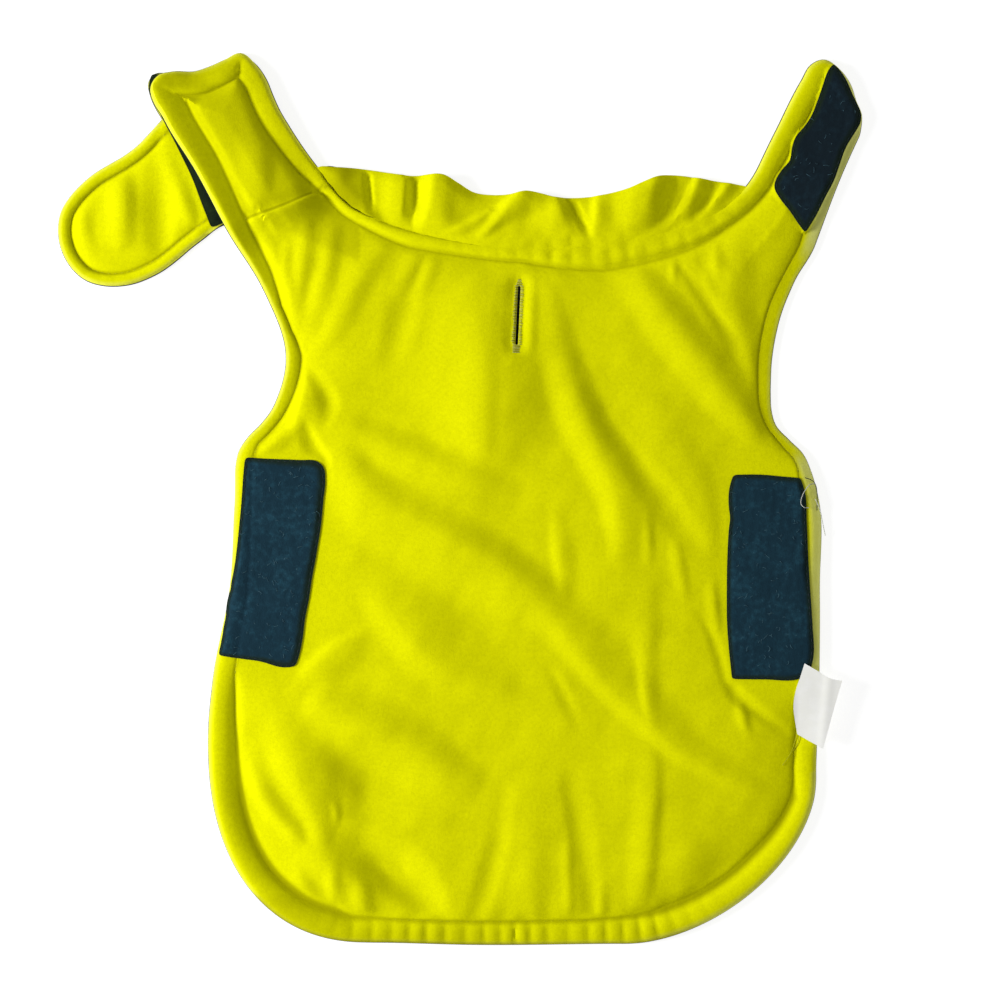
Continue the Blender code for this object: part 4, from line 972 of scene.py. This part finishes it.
def collarHeight(points):
    # upper side of the collar's lining
    gap = nearestOnLoop(points, collarCut)[0]
    neckGap, along = nearestOnLoop(points, backCut)
    atNeck, joined = 1 - smoothStep(neckGap / collar["seamReach"]), neckJoin(points)
    rounded = np.sqrt(np.clip(gap / collar["edgeRound"], 0, 1))
    wall = rim["edge"] + (vest["fleeceWall"] - rim["edge"]) * rounded
    rise = collarRise(points) + collar["loft"] * smoothStep(gap / 5)
    height = wall + np.maximum(rise, 0.05 - 0.9 * smoothStep(gap / 6))
    atSeam = collar["seamHeight"] + joined * (joinHeight(points) - collar["seamHeight"])
    atSeam = atSeam + collar["leftEndRise"] * fadeOut(points[:, 0], -66, 12)
    height = height + atNeck * (0.8 + 0.2 * joined) * (atSeam - height)
    pillow = puckers(along, 0.5, 0, 20) * puckerStrength(points) * bell(neckGap / 8)
    height = height + joined * 0.8 * pillow * smoothStep(neckGap / 2) - 0.06 * bell(neckGap / 1.5)
    return np.maximum(seamHeight + height, collarShellTop(points) + vest["seamGap"] + 1.0)


def collarUnder(points):
    return np.maximum(collarShellTop(points) + 0.15, collarHeight(points) - drawnFleece)


collarSpots = np.concatenate((rowsInside(collarCut, collar["rows"], 0.9),
                              gridInside(collarCut, collar["spacing"], 3.3)))
collarSpots = clearOf(collarSpots[isInside(collarSpots, collarCut)], collarCut, 0.3)
collarLining = clothPiece("collar_lining_cloth", [collarCut], collarSpots,
                          gridInside(collarCut, collar["underSpacing"], 2), collarHeight, collarUnder,
                          ["collar_lining"])
# painted shade on the collar's pleats
addAttribute(collarLining, "seamed", creaseHeight(panelPlaces(collarLining), collar["shades"]))
collarShell = clothPiece("collar_shell_cloth", [collarShellCut],
                         gridInside(collarShellCut, collar["underSpacing"], 2),
                         gridInside(collarShellCut, collar["shellSpacing"], 1.6), collarShellTop,
                         collarShellUnder, ["collar_shell"])

# chest tab

tab = {
    "spacing": 1.6, "underSpacing": 6, "shellSpacing": 2.6,
    "rimWidth": 6.4,
    "roll": 2.3,
    "crest": 0.38,
    "sewn": 0.95,             # fleece left under its topstitch
    "loft": 1.6,
    "swell": 0.25, "pucker": 0.2,
    "heldFrom": 1.5, "heldFade": 9,           # past the strap's tape it rises free over this length
    "edgeRound": 4,
    "seamShade": 0.7, "edgeSheen": 0.3,         # painted shade along its topstitch, and painted sheen at its edge
    "shellSeam": 0.25, "shellSwell": 0.3,
    "creases": [
        (-188, 416, 8, 8, -0.2, -184, 398, 9, 10, -1.4, -183, 383, 10, 13, -2.8, -183, 368, 9, 12, -2.0),
        (-170, 402, 5, 9, 0.4, -168, 388, 6, 11, 2.1, -166, 376, 5, 9, 1.3),
        (-206, 404, 9, 10, 0.6, -203, 388, 9, 12, 2.5, -203, 368, 8, 10, 1.3),
        (-222, 388, 7, 9, 0.3, -224, 374, 7, 9, 1.4, -220, 360, 6, 8, 0.5),
    ],
}


def heldDown(points):
    # 1 where the strap holds the tab down, 0 well away from it
    patch = tapeCuts["tab_patch"]
    held = 1 - fadeIn(nearestOnLoop(points, patch)[0], tab["heldFrom"], tab["heldFade"])
    return np.where(isInside(points, patch) | isInside(points, backCut), 1.0, held)


def tabHeight(points):
    # upper side of the tab's lining
    gap, along = nearestOnLoop(points, tabCut)
    share, beyond = gap / tab["rimWidth"], gap - tab["rimWidth"]
    inRim = rim["edge"] + (tab["sewn"] - rim["edge"]) * np.clip(share, 0, 1)
    inRim = inRim + tab["roll"] * rimShape(share, tab["crest"], tab["sewn"])
    rise = vest["fleeceWall"] - tab["sewn"] + tab["loft"]
    folds = creaseHeight(points, tab["creases"]) + tab["swell"] * softNoise(points, 30, 41)
    inBody = tab["sewn"] + rise * bodyShape(beyond, tab["sewn"]) + folds * smoothStep(beyond / 5)
    free = np.where(share < 1, inRim, inBody) + tab["pucker"] * puckers(along, share, beyond, 43)
    flat = rim["edge"] + (vest["fleeceWall"] - rim["edge"]) * smoothStep(gap / tab["edgeRound"])
    return seamHeight + np.maximum(free + heldDown(points) * (flat - free), 1.0)


def tabUnder(points):
    return np.maximum(seamHeight + 0.05, tabHeight(points) - drawnFleece)


tabRim = (np.array((0.0, 1.0)), [np.full(2, tab["rimWidth"])])     # one width all round
tabSpots = ringsInside(tabCut, tabRim, rim["rows"][1:], 1.3)
tabInner = gridInside(tabCut, tab["spacing"], rim["rows"][-1] * tab["rimWidth"] + 0.8)
tabLining = clothPiece("tab_lining_cloth", [tabCut], np.concatenate((tabSpots, tabInner)),
                       gridInside(tabCut, tab["underSpacing"], 4), tabHeight, tabUnder,
                       ["tab_lining"])
tabGap = nearestOnLoop(panelPlaces(tabLining), tabCut)[0]
# painted shade along the tab's topstitch and painted sheen at its edge
addAttribute(tabLining, "seamed", tab["seamShade"] * bell((tabGap - tab["rimWidth"]) / 1.8))
addAttribute(tabLining, "faded", tab["edgeSheen"] * bell(tabGap / 2.5))
tabShellCut = smoothLoop(cutLoops("tab_shell")[0], 1.8)


def tabShellTop(points):
    return 0 * points[:, 0] + vest["shellWall"] + 0.1


def tabShellUnder(points):
    gap = nearestOnLoop(points, tabShellCut)[0]
    swell = tab["shellSwell"] * np.clip(softNoise(points, 26, 45), 0, 1.5) * fadeIn(gap, 8, 6)
    return tab["shellSeam"] * bell((gap - tab["rimWidth"]) / 1.4) + swell


tabShell = clothPiece("tab_shell_cloth", [tabShellCut], gridInside(tabShellCut, tab["underSpacing"], 3),
                      gridInside(tabShellCut, tab["shellSpacing"], 1.6), tabShellTop, tabShellUnder,
                      ["tab_shell"])

# hook and loop tapes

tape = {
    "spacing": 1.15, "underSpacing": 2.4,
    "lift": 0.12,             # gap to the cloth below
    "selvage": 1.7,           # plain woven edge outside the pile
    "selvageWall": 0.55,
    "tufts": 0.09, "wave": 0.22,
    # how wide the dark border is at the left and the right of each tape: the tape's plain selvage, widened
    # to the right as painted shade
    "borders": {"side_patch_left": (1.0, 2.4), "side_patch_right": (1.3, 1.6),
                "strap_patch_right": (1.8, 1.9)},
}


def tapePiece(name, node, surface, seed):
    cut = tapeCuts[node]

    def top(points):
        gap, along = nearestOnLoop(points, cut)
        pile = smoothStep((gap - tape["selvage"] + 0.25 * wander(along, 9, seed)) / 0.9)
        uneven = tape["tufts"] * softNoise(points, 4.2, seed + 1)
        uneven = uneven + tape["wave"] * softNoise(points, 24, seed + 2)
        wall = tape["selvageWall"] + (vest["tapeWall"] - tape["selvageWall"]) * pile + uneven * pile
        return surface(points) + tape["lift"] + wall

    def underside(points):
        return surface(points) + tape["lift"]

    piece = clothPiece(name, [cut], gridInside(cut, tape["spacing"], 0.5),
                       gridInside(cut, tape["underSpacing"], 1.2), top, underside, [node])
    places = panelPlaces(piece)
    low, high = cut[:, 0].min(), cut[:, 0].max()
    left, right = tape["borders"].get(node, (1, 1))
    spread = left + (right - left) * fadeIn(places[:, 0], low, high - low)
    addAttribute(piece, "fromEdge", nearestOnLoop(places, cut)[0] / spread)
    return piece


def underStrap(points):
    return climbAt(points) - vest["seamGap"] - vest["tapeWall"] - tape["lift"]


sidePatchLeft = tapePiece("side_tape_left", "side_patch_left", backHeight, 51)
sidePatchRight = tapePiece("side_tape_right", "side_patch_right", backHeight, 54)
strapPatchRight = tapePiece("strap_tape_right", "strap_patch_right", backHeight, 57)
tabPatch = tapePiece("tab_tape", "tab_patch", tabHeight, 60)
strapPatchLeft = tapePiece("strap_tape_left", "strap_patch_left", underStrap, 63)

# blank care label

label = {
    "wall": 0.45,
    "spacing": 1.2,
    "height": 5.6,            # where its sewn end lies on the rim
    "sewnX": 147, "foldX": 161.5,
    "rise": 3.0,              # up to the fold
    "droop": 0.3, "curl": 0.35, "wave": 0.22, "upperLift": 0.8,
}
labelCut = smoothLoop(cutLoops("care_label")[0], 1.2, math.radians(40))


def labelUnder(points):
    x, y = points.T
    line = label["foldX"] + (y - 120) * 0.1
    climb = label["rise"] * np.clip((x - label["sewnX"]) / 14.5, 0, 1.6)
    hang = label["droop"] * fadeIn(x, line, 12) - climb
    wave = label["wave"] * np.sin((y - 100) / 7.0) * fadeIn(x, 150, 8)
    curl = label["curl"] * bell((x - line) / 4) + wave
    return label["height"] - hang + curl + label["upperLift"] * fadeIn(y, 132, 12)


def labelTop(points):
    return labelUnder(points) + label["wall"]


labelSpots = gridInside(labelCut, label["spacing"], 0.7)
careLabel = clothPiece("care_label_satin", [labelCut], labelSpots, labelSpots, labelTop, labelUnder,
                       ["care_label"])

# stitches

stitch = {
    "length": 2.7, "pitch": 3.4, "thick": 0.18,
    "dive": (-0.35, 0.0, 0.05, 0.0, -0.35),   # height over the cloth along one stitch
    "sunk": 0.6,              # how far the stitches sink out of sight where they pull deep
    "tapeInset": 1.1, "tapeThick": 0.2,
    "satinPitch": 0.62, "satinThick": 0.17, "satinLength": 1.7,
}


def stitchRow(line, surface, skip=None, facing=1):
    # short threads round a closed line; facing is -1 on an underside
    line = np.concatenate((line, line[:1]))
    milestones = np.concatenate(([0], np.cumsum(np.linalg.norm(np.diff(line, axis=0), axis=1))))
    rows = []
    for start in np.arange(0, milestones[-1] - stitch["length"], stitch["pitch"]):
        at = start + stitch["length"] * np.array((0, 0.25, 0.5, 0.75, 1))
        spots = np.column_stack([np.interp(at, milestones, line[:, axis]) for axis in (0, 1)])
        if skip is None or not skip(spots).any():
            rows.append(np.column_stack((spots, surface(spots) + facing * np.array(stitch["dive"]))))
    return rows


def grooveLine(loop, table):
    # where the topstitch runs, left out where it would double back in a corner
    line = loop + inwardFrom(loop) * rimWidths(loop, table)
    gap, _, here = rimPlace(line, loop, table)[:3]
    return thinned(line[gap > 0.93 * here], 0.5)


def underTape(spots):
    return np.any([isInside(spots, tapeCuts[node]) for node in (*liningTapes, "tab_patch")], axis=0)


backGroove = grooveLine(backCut, backRim)
tabGroove = grooveLine(tabCut, tabRim)


def sunkHeight(points):
    sewn = rimPlace(points, backCut, backRim)[5]
    return backHeight(points) - stitch["sunk"] * fadeOut(sewn, 0.75, 0.15)


def shellRowHeight(points):
    return np.maximum(shellUnder(points), 0.25)


def tapeRowHeight(points):
    return backHeight(points) + tape["lift"] + tape["selvageWall"]


stitches = stitchRow(backGroove, sunkHeight, skip=underTape)
stitches += stitchRow(tabGroove, tabHeight, skip=lambda spots: underTape(spots) | isInside(spots, backCut))
topstitching = tubes("rim_topstitching", stitches, stitch["thick"], 6)

shellRows = stitchRow(shellCut + inwardFrom(shellCut) * shell["seamInset"], shellRowHeight, facing=-1)
shellStitching = tubes("shell_topstitching", shellRows, stitch["thick"], 6)

tapeRows = []
for node in liningTapes:
    inset = tapeCuts[node] + inwardFrom(tapeCuts[node]) * stitch["tapeInset"]
    tapeRows += stitchRow(clearOf(inset, tapeCuts[node], 0.9), tapeRowHeight)
tapeStitching = tubes("tape_stitching", tapeRows, stitch["tapeThick"], 5)


def satinRows():
    # close stitches across both lips of the slit, and bars that close its ends
    length = np.linalg.norm(slitLine[1] - slitLine[0])
    along = (slitLine[1] - slitLine[0]) / length
    side = np.array((-along[1], along[0]))
    draw = np.random.default_rng(71)
    rows = []
    for hand in (-1, 1):
        for step in np.arange(-0.6, length + 0.6, stitch["satinPitch"]):
            start = slitLine[0] + along * (step + draw.uniform(-0.12, 0.12))
            start = start + side * hand * (0.6 + 0.25 * step / length)
            reach = stitch["satinLength"] + draw.uniform(-0.3, 0.5)
            spots = np.array([start + side * hand * reach * share for share in (0, 0.2, 0.55, 0.85, 1)])
            base, lift = backHeight(spots), np.array((-0.7, 0.12, 0.16, 0.08, -0.3))
            rows.append(np.column_stack((spots, base.max() * 0.4 + base * 0.6 + lift)))
    for end, outward in ((slitLine[0], -1), (slitLine[1], 1)):
        for step in np.arange(0.9, 4.6 if outward < 0 else 5.0, 0.55):
            middle = end + along * outward * step
            half = 2.3 - 0.28 * step * (outward < 0) + draw.uniform(-0.25, 0.25)
            spots = np.array([middle + side * half * share for share in (-1, -0.6, 0, 0.6, 1)])
            rows.append(np.column_stack((spots, backHeight(spots) + np.array((-0.3, 0.1, 0.16, 0.1, -0.3)))))
    return rows


loose = {
    # threads run through places of three numbers: x, y and the height above the lining
    "white": [(156, 240, 1.2, 153, 239, 2.4, 150, 234.5, 2.2, 148.8, 230, 2.0, 150.5, 227.6, 2.0,
               153, 227.4, 1.2)],
    "grey": [(156.5, 232, 1.2, 159, 226, 1.8, 160.5, 219, 1.2, 162, 213, -1.2)],
    "dark": [(151, 243, 1.9, 155, 241.5, 1.3, 157, 238.5, 0.9, 157.6, 233, 0.8, 157.4, 226, 0.8)],
    "yellow": [(147.5, 112, 1.4, 146.2, 106, 0.9, 144, 100, 0.9, 139.5, 93.5, 0.5),
               (148.5, 111, 1.2, 147.5, 105, 0.8, 145.5, 101, 0.5)],
    "thick": 0.2,
    "hairs": {"side_patch_left": 75, "side_patch_right": 75, "strap_patch_right": 25},
    "hairThick": 0.07,
}


def looseThread(name, rows):
    lines = [smoothLine(row, 3, 6) for row in rows]
    paths = [np.column_stack((line[:, :2], backHeight(line[:, :2]) + line[:, 2])) for line in lines]
    return tubes(name, paths, loose["thick"], 6)


def tapeHairs(node, count, seed):
    # fine curled hairs caught in the pile
    draw, cut = np.random.default_rng(seed), tapeCuts[node]
    rows = []
    for spot in draw.choice(gridInside(cut, 1.1, 2.0), count):
        heading, curl, length = draw.uniform(0, 6.3), draw.uniform(-0.5, 0.5), draw.uniform(1.2, 4.5)
        turns = heading + curl * np.arange(6)
        steps = np.column_stack((np.cos(turns), np.sin(turns))) * length / 6
        line = spot + np.cumsum(steps, axis=0)
        if isInside(line, cut).all():
            lift = 1.3 + draw.uniform(0.1, 0.3) + np.array((-0.3, 0, 0.15, 0.15, 0, -0.3))
            rows.append(np.column_stack((line, backHeight(line) + lift)))
    return rows


whiteStrands = looseThread("loose_white_thread", loose["white"] + loose["grey"])
darkStrands = looseThread("loose_dark_thread", loose["dark"])
yellowStrands = looseThread("loose_yellow_thread", loose["yellow"])
hairs = [hair for seed, (node, count) in enumerate(loose["hairs"].items(), 81)
         for hair in tapeHairs(node, count, seed)]
tapeLint = tubes("tape_lint", hairs, loose["hairThick"], 4)
satin = satinRows()           # two threads in five are dark, as painted shade between the stitches
buttonhole = tubes("slit_buttonhole_stitches", [row for i, row in enumerate(satin) if i % 5 not in (1, 3)],
                   stitch["satinThick"], 6)
buttonholeShade = tubes("slit_stitches_dark", satin[1::5] + satin[3::5], stitch["satinThick"] * 0.85, 6)
print("cloth and stitches made")

# materials


bandScale = 0.157             # a wave texture's scale for bands one metre wide


class Shade:
    # wraps a shader socket; sums on it add Math nodes
    def __init__(self, tree, socket=None):
        self.tree, self.socket = tree, socket

    def node(self, kind, settings=(), sockets=(), output=0):
        made = self.tree.nodes.new("ShaderNode" + kind)
        for name, value in dict(settings).items():
            if name == "stops":
                stops = made.color_ramp.elements
                while len(stops) < len(value):
                    stops.new(0.5)
                for stop, (position, colour) in zip(stops, value):
                    stop.position, stop.color = position, (*colour, 1)
            else:
                setattr(made, name, value)
        for key, value in dict(sockets).items():
            if isinstance(value, Shade):
                self.tree.links.new(value.socket, made.inputs[key])
            else:
                made.inputs[key].default_value = value
        return Shade(self.tree, made.outputs[output])

    def maths(self, operation, first, second):
        return self.node("Math", {"operation": operation}, {0: first, 1: second})

    def __add__(self, other):
        return self.maths("ADD", self, other)

    def __rsub__(self, other):
        return self.maths("SUBTRACT", other, self)

    def __mul__(self, other):
        return self.maths("MULTIPLY", self, other)

    __radd__ = __add__

    def attribute(self, name):
        return self.node("Attribute", {"attribute_name": name}, output=2)

    def noise(self, place, size, detail=2.0, roughness=0.5):
        # features of about size mm
        return self.node("TexNoise", {}, {"Vector": place, "Scale": 1 / (size * mm), "Detail": detail,
                                          "Roughness": roughness})

    def bands(self, place, width, way, sockets):
        # stripes of about width mm
        return self.node("TexWave", {"wave_type": "BANDS", "bands_direction": way},
                         {"Vector": place, "Scale": bandScale / (width * mm), **sockets})

    def bump(self, strength, depth, height, **under):
        # relief of depth mm
        return self.node("Bump", {}, {"Strength": strength, "Distance": depth * mm, "Height": height,
                                      **under})

    def within(self, low, high):
        return self.node("MapRange", {"interpolation_type": "SMOOTHSTEP"},
                         {"Value": self, "From Min": low, "From Max": high})

    def blend(self, factor, first, second):
        return self.node("Mix", {"data_type": "RGBA"}, {0: factor, 6: first, 7: second}, output=2)


def newMaterial(name, sockets):
    # the material, its shader, and a start for its other nodes with the place on the piece
    material = bpy.data.materials.new(name)
    material.use_nodes = True
    shader = material.node_tree.nodes["Principled BSDF"]
    for key, value in sockets.items():
        shader.inputs[key].default_value = value
    material.diffuse_color = sockets["Base Color"]
    base = Shade(material.node_tree)
    return material, shader, base, base.node("TexCoord", output=3)


def join(material, shader, **links):
    for key, value in links.items():
        material.node_tree.links.new(value.socket, shader.inputs[key.replace("_", " ")])


def wear(material, *pieces):
    for piece in pieces:
        piece.data.materials.clear()
        piece.data.materials.append(material)


def tone(red, green, blue):
    return red, green, blue, 1


fleece = {
    "deep": tone(0.73, 0.74, 0.0), "mid": tone(0.83, 0.84, 0.0), "pale": tone(0.93, 0.94, 0.0),
    # the dark colour is painted shade, the pale greyed one painted sheen
    "seamed": tone(0.36, 0.35, 0.0), "faded": tone(0.86, 0.88, 0.24),
    "napSize": 0.55, "clumpSize": 1.9, "patchSize": 22,
    "napDepth": 0.22, "clumpDepth": 0.20,
    "shadeTintShare": 0.85,      # how much of the painted shade is laid on
}


def fleeceMaterial():
    material, shader, base, place = newMaterial("brushed_fleece", {
        "Base Color": fleece["mid"], "Roughness": 0.95, "Specular IOR Level": 0.03,
        "Sheen Weight": 0.08, "Sheen Roughness": 0.55, "Sheen Tint": tone(1.0, 1.0, 0.02)})
    nap = base.noise(place, fleece["napSize"], 3, 0.6)
    clump = base.noise(place, fleece["clumpSize"], 3, 0.6)
    patch = base.noise(place, fleece["patchSize"], 2)
    shade = nap * 0.4 + clump * 0.4 + patch * 0.2
    colour = base.node("ValToRGB", {"stops": [(0.34, fleece["deep"][:3]), (0.5, fleece["mid"][:3]),
                                              (0.68, fleece["pale"][:3])]}, {0: shade})
    # painted sheen, then painted shade, laid over the fleece's colour
    colour = base.blend(base.attribute("faded") * (0.7 + clump * 0.6), colour, fleece["faded"])
    colour = base.blend(base.attribute("seamed") * fleece["shadeTintShare"], colour, fleece["seamed"])
    rough = base.bump(0.55, fleece["clumpDepth"], clump)
    normal = base.bump(0.7, fleece["napDepth"], nap, Normal=rough)
    join(material, shader, Base_Color=colour, Normal=normal)
    return material


woven = {
    "dark": tone(0.006, 0.012, 0.026), "light": tone(0.020, 0.038, 0.075),
    "yarn": 0.55, "depth": 0.10,
}


def wovenMaterial():
    material, shader, base, place = newMaterial("navy_woven", {
        "Base Color": woven["light"], "Roughness": 0.62, "Specular IOR Level": 0.35,
        "Sheen Weight": 0.1, "Sheen Roughness": 0.4, "Sheen Tint": tone(0.5, 0.6, 0.9)})
    yarns = [base.bands(place, woven["yarn"], way, {"Distortion": 0.4, "Detail": 1.0, "Detail Scale": 1.5})
             for way in ("X", "Y")]
    cross = base.maths("MAXIMUM", *yarns)
    worn = base.noise(place, 9, 3)
    colour = base.blend(cross * 0.55 + worn * 0.45, woven["dark"], woven["light"])
    join(material, shader, Base_Color=colour, Normal=base.bump(0.6, woven["depth"], cross),
         Roughness=0.5 + worn * 0.25)
    return material


pile = {
    # deep and mid tones of each pile, and of the lint on it
    "navy_loop_pile": (tone(0.006, 0.030, 0.048), tone(0.013, 0.062, 0.094), tone(0.066, 0.165, 0.220)),
    "dark_loop_pile": (tone(0.005, 0.013, 0.019), tone(0.009, 0.027, 0.040), tone(0.018, 0.048, 0.066)),
    "green_loop_pile": (tone(0.006, 0.013, 0.003), tone(0.016, 0.032, 0.006), tone(0.030, 0.052, 0.012)),
    "selvage": tone(0.008, 0.018, 0.003), "loopSize": 0.8, "depth": 0.3,
}


def pileMaterial(name):
    deep, mid, lint = pile[name]
    material, shader, base, place = newMaterial(name, {
        "Base Color": mid, "Roughness": 0.95, "Specular IOR Level": 0.15,
        "Sheen Weight": 0.25, "Sheen Roughness": 0.5, "Sheen Tint": tone(0.3, 0.5, 0.75)})
    loops = base.node("TexVoronoi", {"feature": "SMOOTH_F1"},
                      {"Vector": place, "Scale": 1 / (pile["loopSize"] * mm), "Smoothness": 0.6})
    tufts = base.noise(place, 3.2, 4, 0.65)
    patches = base.noise(place, 15, 3)
    light = (tufts * 0.6 + patches * 0.4).within(0.44, 0.72)
    colour = base.blend(light, deep, mid)
    colour = base.blend(base.noise(place, 1.7, 4, 0.7).within(0.56, 0.78) * light, colour, lint)
    # dark border: the plain selvage, with painted shade where it widens to the right
    border = 1 - (base.attribute("fromEdge") + base.noise(place, 1.2, 3) * 0.8).within(1.0, 2.7)
    colour = base.blend(border * 0.85, colour, pile["selvage"])
    height = (1 - loops) * 0.5 + base.noise(place, 0.7, 3) * 0.5
    join(material, shader, Base_Color=colour, Normal=base.bump(0.8, pile["depth"], height))
    return material


satinCloth = {
    "base": tone(0.90, 0.90, 0.87), "soiled": tone(0.96, 0.96, 0.91), "clean": tone(1.0, 1.0, 0.97),
    "rib": 0.35, "depth": 0.05,
}


def satinMaterial():
    material, shader, base, place = newMaterial("label_satin_white", {
        "Base Color": satinCloth["base"], "Roughness": 0.42, "Specular IOR Level": 0.5,
        "Anisotropic": 0.3, "Sheen Weight": 0.25, "Sheen Roughness": 0.6})
    ribs = base.bands(place, satinCloth["rib"], "Y", {"Distortion": 0.2})
    soil = base.noise(place, 7, 3)
    colour = base.blend(soil.within(0.35, 0.75), satinCloth["soiled"], satinCloth["clean"])
    join(material, shader, Base_Color=colour, Normal=base.bump(0.35, satinCloth["depth"], ribs),
         Roughness=0.36 + soil * 0.2)
    return material


thread = {
    "yellow_thread": tone(0.66, 0.67, 0.0), "olive_thread": tone(0.52, 0.52, 0.20),
    "dark_olive_thread": tone(0.16, 0.15, 0.03), "navy_thread": tone(0.012, 0.026, 0.034),
    "white_thread": tone(0.80, 0.82, 0.72), "pale_lint": tone(0.10, 0.22, 0.28),
    "twist": 0.3, "depth": 0.05, "dim": 0.55,
}


def threadMaterial(name):
    colour = thread[name]
    material, shader, base, place = newMaterial(name, {
        "Base Color": colour, "Roughness": 0.6, "Specular IOR Level": 0.3})
    twist = base.bands(place, thread["twist"], "DIAGONAL", {"Distortion": 0.5})
    dim = tone(*(value * thread["dim"] for value in colour[:3]))
    join(material, shader, Base_Color=base.blend(twist, dim, colour),
         Normal=base.bump(0.4, thread["depth"], twist))
    return material


wear(fleeceMaterial(), backLining, collarLining, tabLining)
wear(wovenMaterial(), backShell, collarShell, tabShell)
wear(pileMaterial("navy_loop_pile"), sidePatchLeft, sidePatchRight)
wear(pileMaterial("dark_loop_pile"), strapPatchRight, strapPatchLeft)
wear(pileMaterial("green_loop_pile"), tabPatch)
wear(satinMaterial(), careLabel)
wear(threadMaterial("yellow_thread"), topstitching, yellowStrands)
wear(threadMaterial("olive_thread"), buttonhole)
wear(threadMaterial("dark_olive_thread"), buttonholeShade)
wear(threadMaterial("navy_thread"), tapeStitching, shellStitching, darkStrands)
wear(threadMaterial("white_thread"), whiteStrands)
wear(threadMaterial("pale_lint"), tapeLint)
print("materials made")

# sheets: the size each was cut to, and the pieces it rests on

def cutArea(loop):
    after = np.roll(loop, -1, axis=0)
    return 0.5 * float(np.sum(loop[:, 0] * after[:, 1] - after[:, 0] * loop[:, 1])) * mm * mm


sheets = [
    (backLining, backCut, (0.372, 0.465), [backShell]),
    (backShell, shellCut, (0.373, 0.466), []),
    (collarLining, collarCut, (0.224, 0.046), [collarShell]),
    (collarShell, collarShellCut, (0.224, 0.046), []),
    (tabLining, tabCut, (0.126, 0.112), [tabShell]),
    (tabShell, tabShellCut, (0.127, 0.113), []),
    (sidePatchLeft, tapeCuts["side_patch_left"], (0.041, 0.108), [backLining]),
    (sidePatchRight, tapeCuts["side_patch_right"], (0.041, 0.108), [backLining]),
    (strapPatchRight, tapeCuts["strap_patch_right"], (0.038, 0.090), [backLining]),
    (tabPatch, tapeCuts["tab_patch"], (0.041, 0.088), [tabLining]),
    (strapPatchLeft, tapeCuts["strap_patch_left"], (0.029, 0.063), [tabPatch]),
    (careLabel, labelCut, (0.024, 0.045), [backLining]),
]
for piece, cut, size, restsOn in sheets:
    cutArea(cut)
    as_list(restsOn)

# floor, light and camera

studio = {
    # in metres
    "viewX": 0.0208, "viewY": -0.0006, "viewWidth": 0.520, "cameraHeight": 1.6, "focusHeight": 0.004,
    "sensor": 36.0,
    "keyPlace": (-1.45, 0.0, 0.86), "keySize": 0.55, "keyPower": 28.5,
    "fill": 0.30, "floor": 0.35, "floorGlow": 0.84, "floorSize": 6,
}

bpy.ops.object.select_all(action="DESELECT")
bpy.ops.mesh.primitive_plane_add(size=studio["floorSize"])
floor = bpy.context.object
floor.name = "studio_floor"
wear(newMaterial("pale_floor", {
    "Base Color": tone(studio["floor"], studio["floor"], studio["floor"]), "Roughness": 0.9,
    "Specular IOR Level": 0.0, "Emission Color": tone(1, 1, 1),
    "Emission Strength": studio["floorGlow"]})[0], floor)

keyData = bpy.data.lights.new("key_light", "AREA")
keyData.size, keyData.energy = studio["keySize"], studio["keyPower"]
keyLight = bpy.data.objects.new("key_light", keyData)
keyLight.location = studio["keyPlace"]
keyLight.rotation_euler = (-Vector(studio["keyPlace"])).to_track_quat("-Z", "Y").to_euler()
bpy.context.scene.collection.objects.link(keyLight)

world = bpy.data.worlds.new("studio_fill")
world.use_nodes = True
world.node_tree.nodes["Background"].inputs["Color"].default_value = tone(1, 1, 1)
world.node_tree.nodes["Background"].inputs["Strength"].default_value = studio["fill"]
bpy.context.scene.world = world

cameraData = bpy.data.cameras.new("camera")
cameraData.sensor_width = studio["sensor"]
cameraData.lens = studio["sensor"] * studio["cameraHeight"] / studio["viewWidth"]
camera = bpy.data.objects.new("camera", cameraData)
camera.location = (studio["viewX"], studio["viewY"], studio["cameraHeight"] + studio["focusHeight"])
bpy.context.scene.collection.objects.link(camera)
bpy.context.scene.camera = camera
bpy.context.scene.view_settings.view_transform = "Standard"
print("studio set")
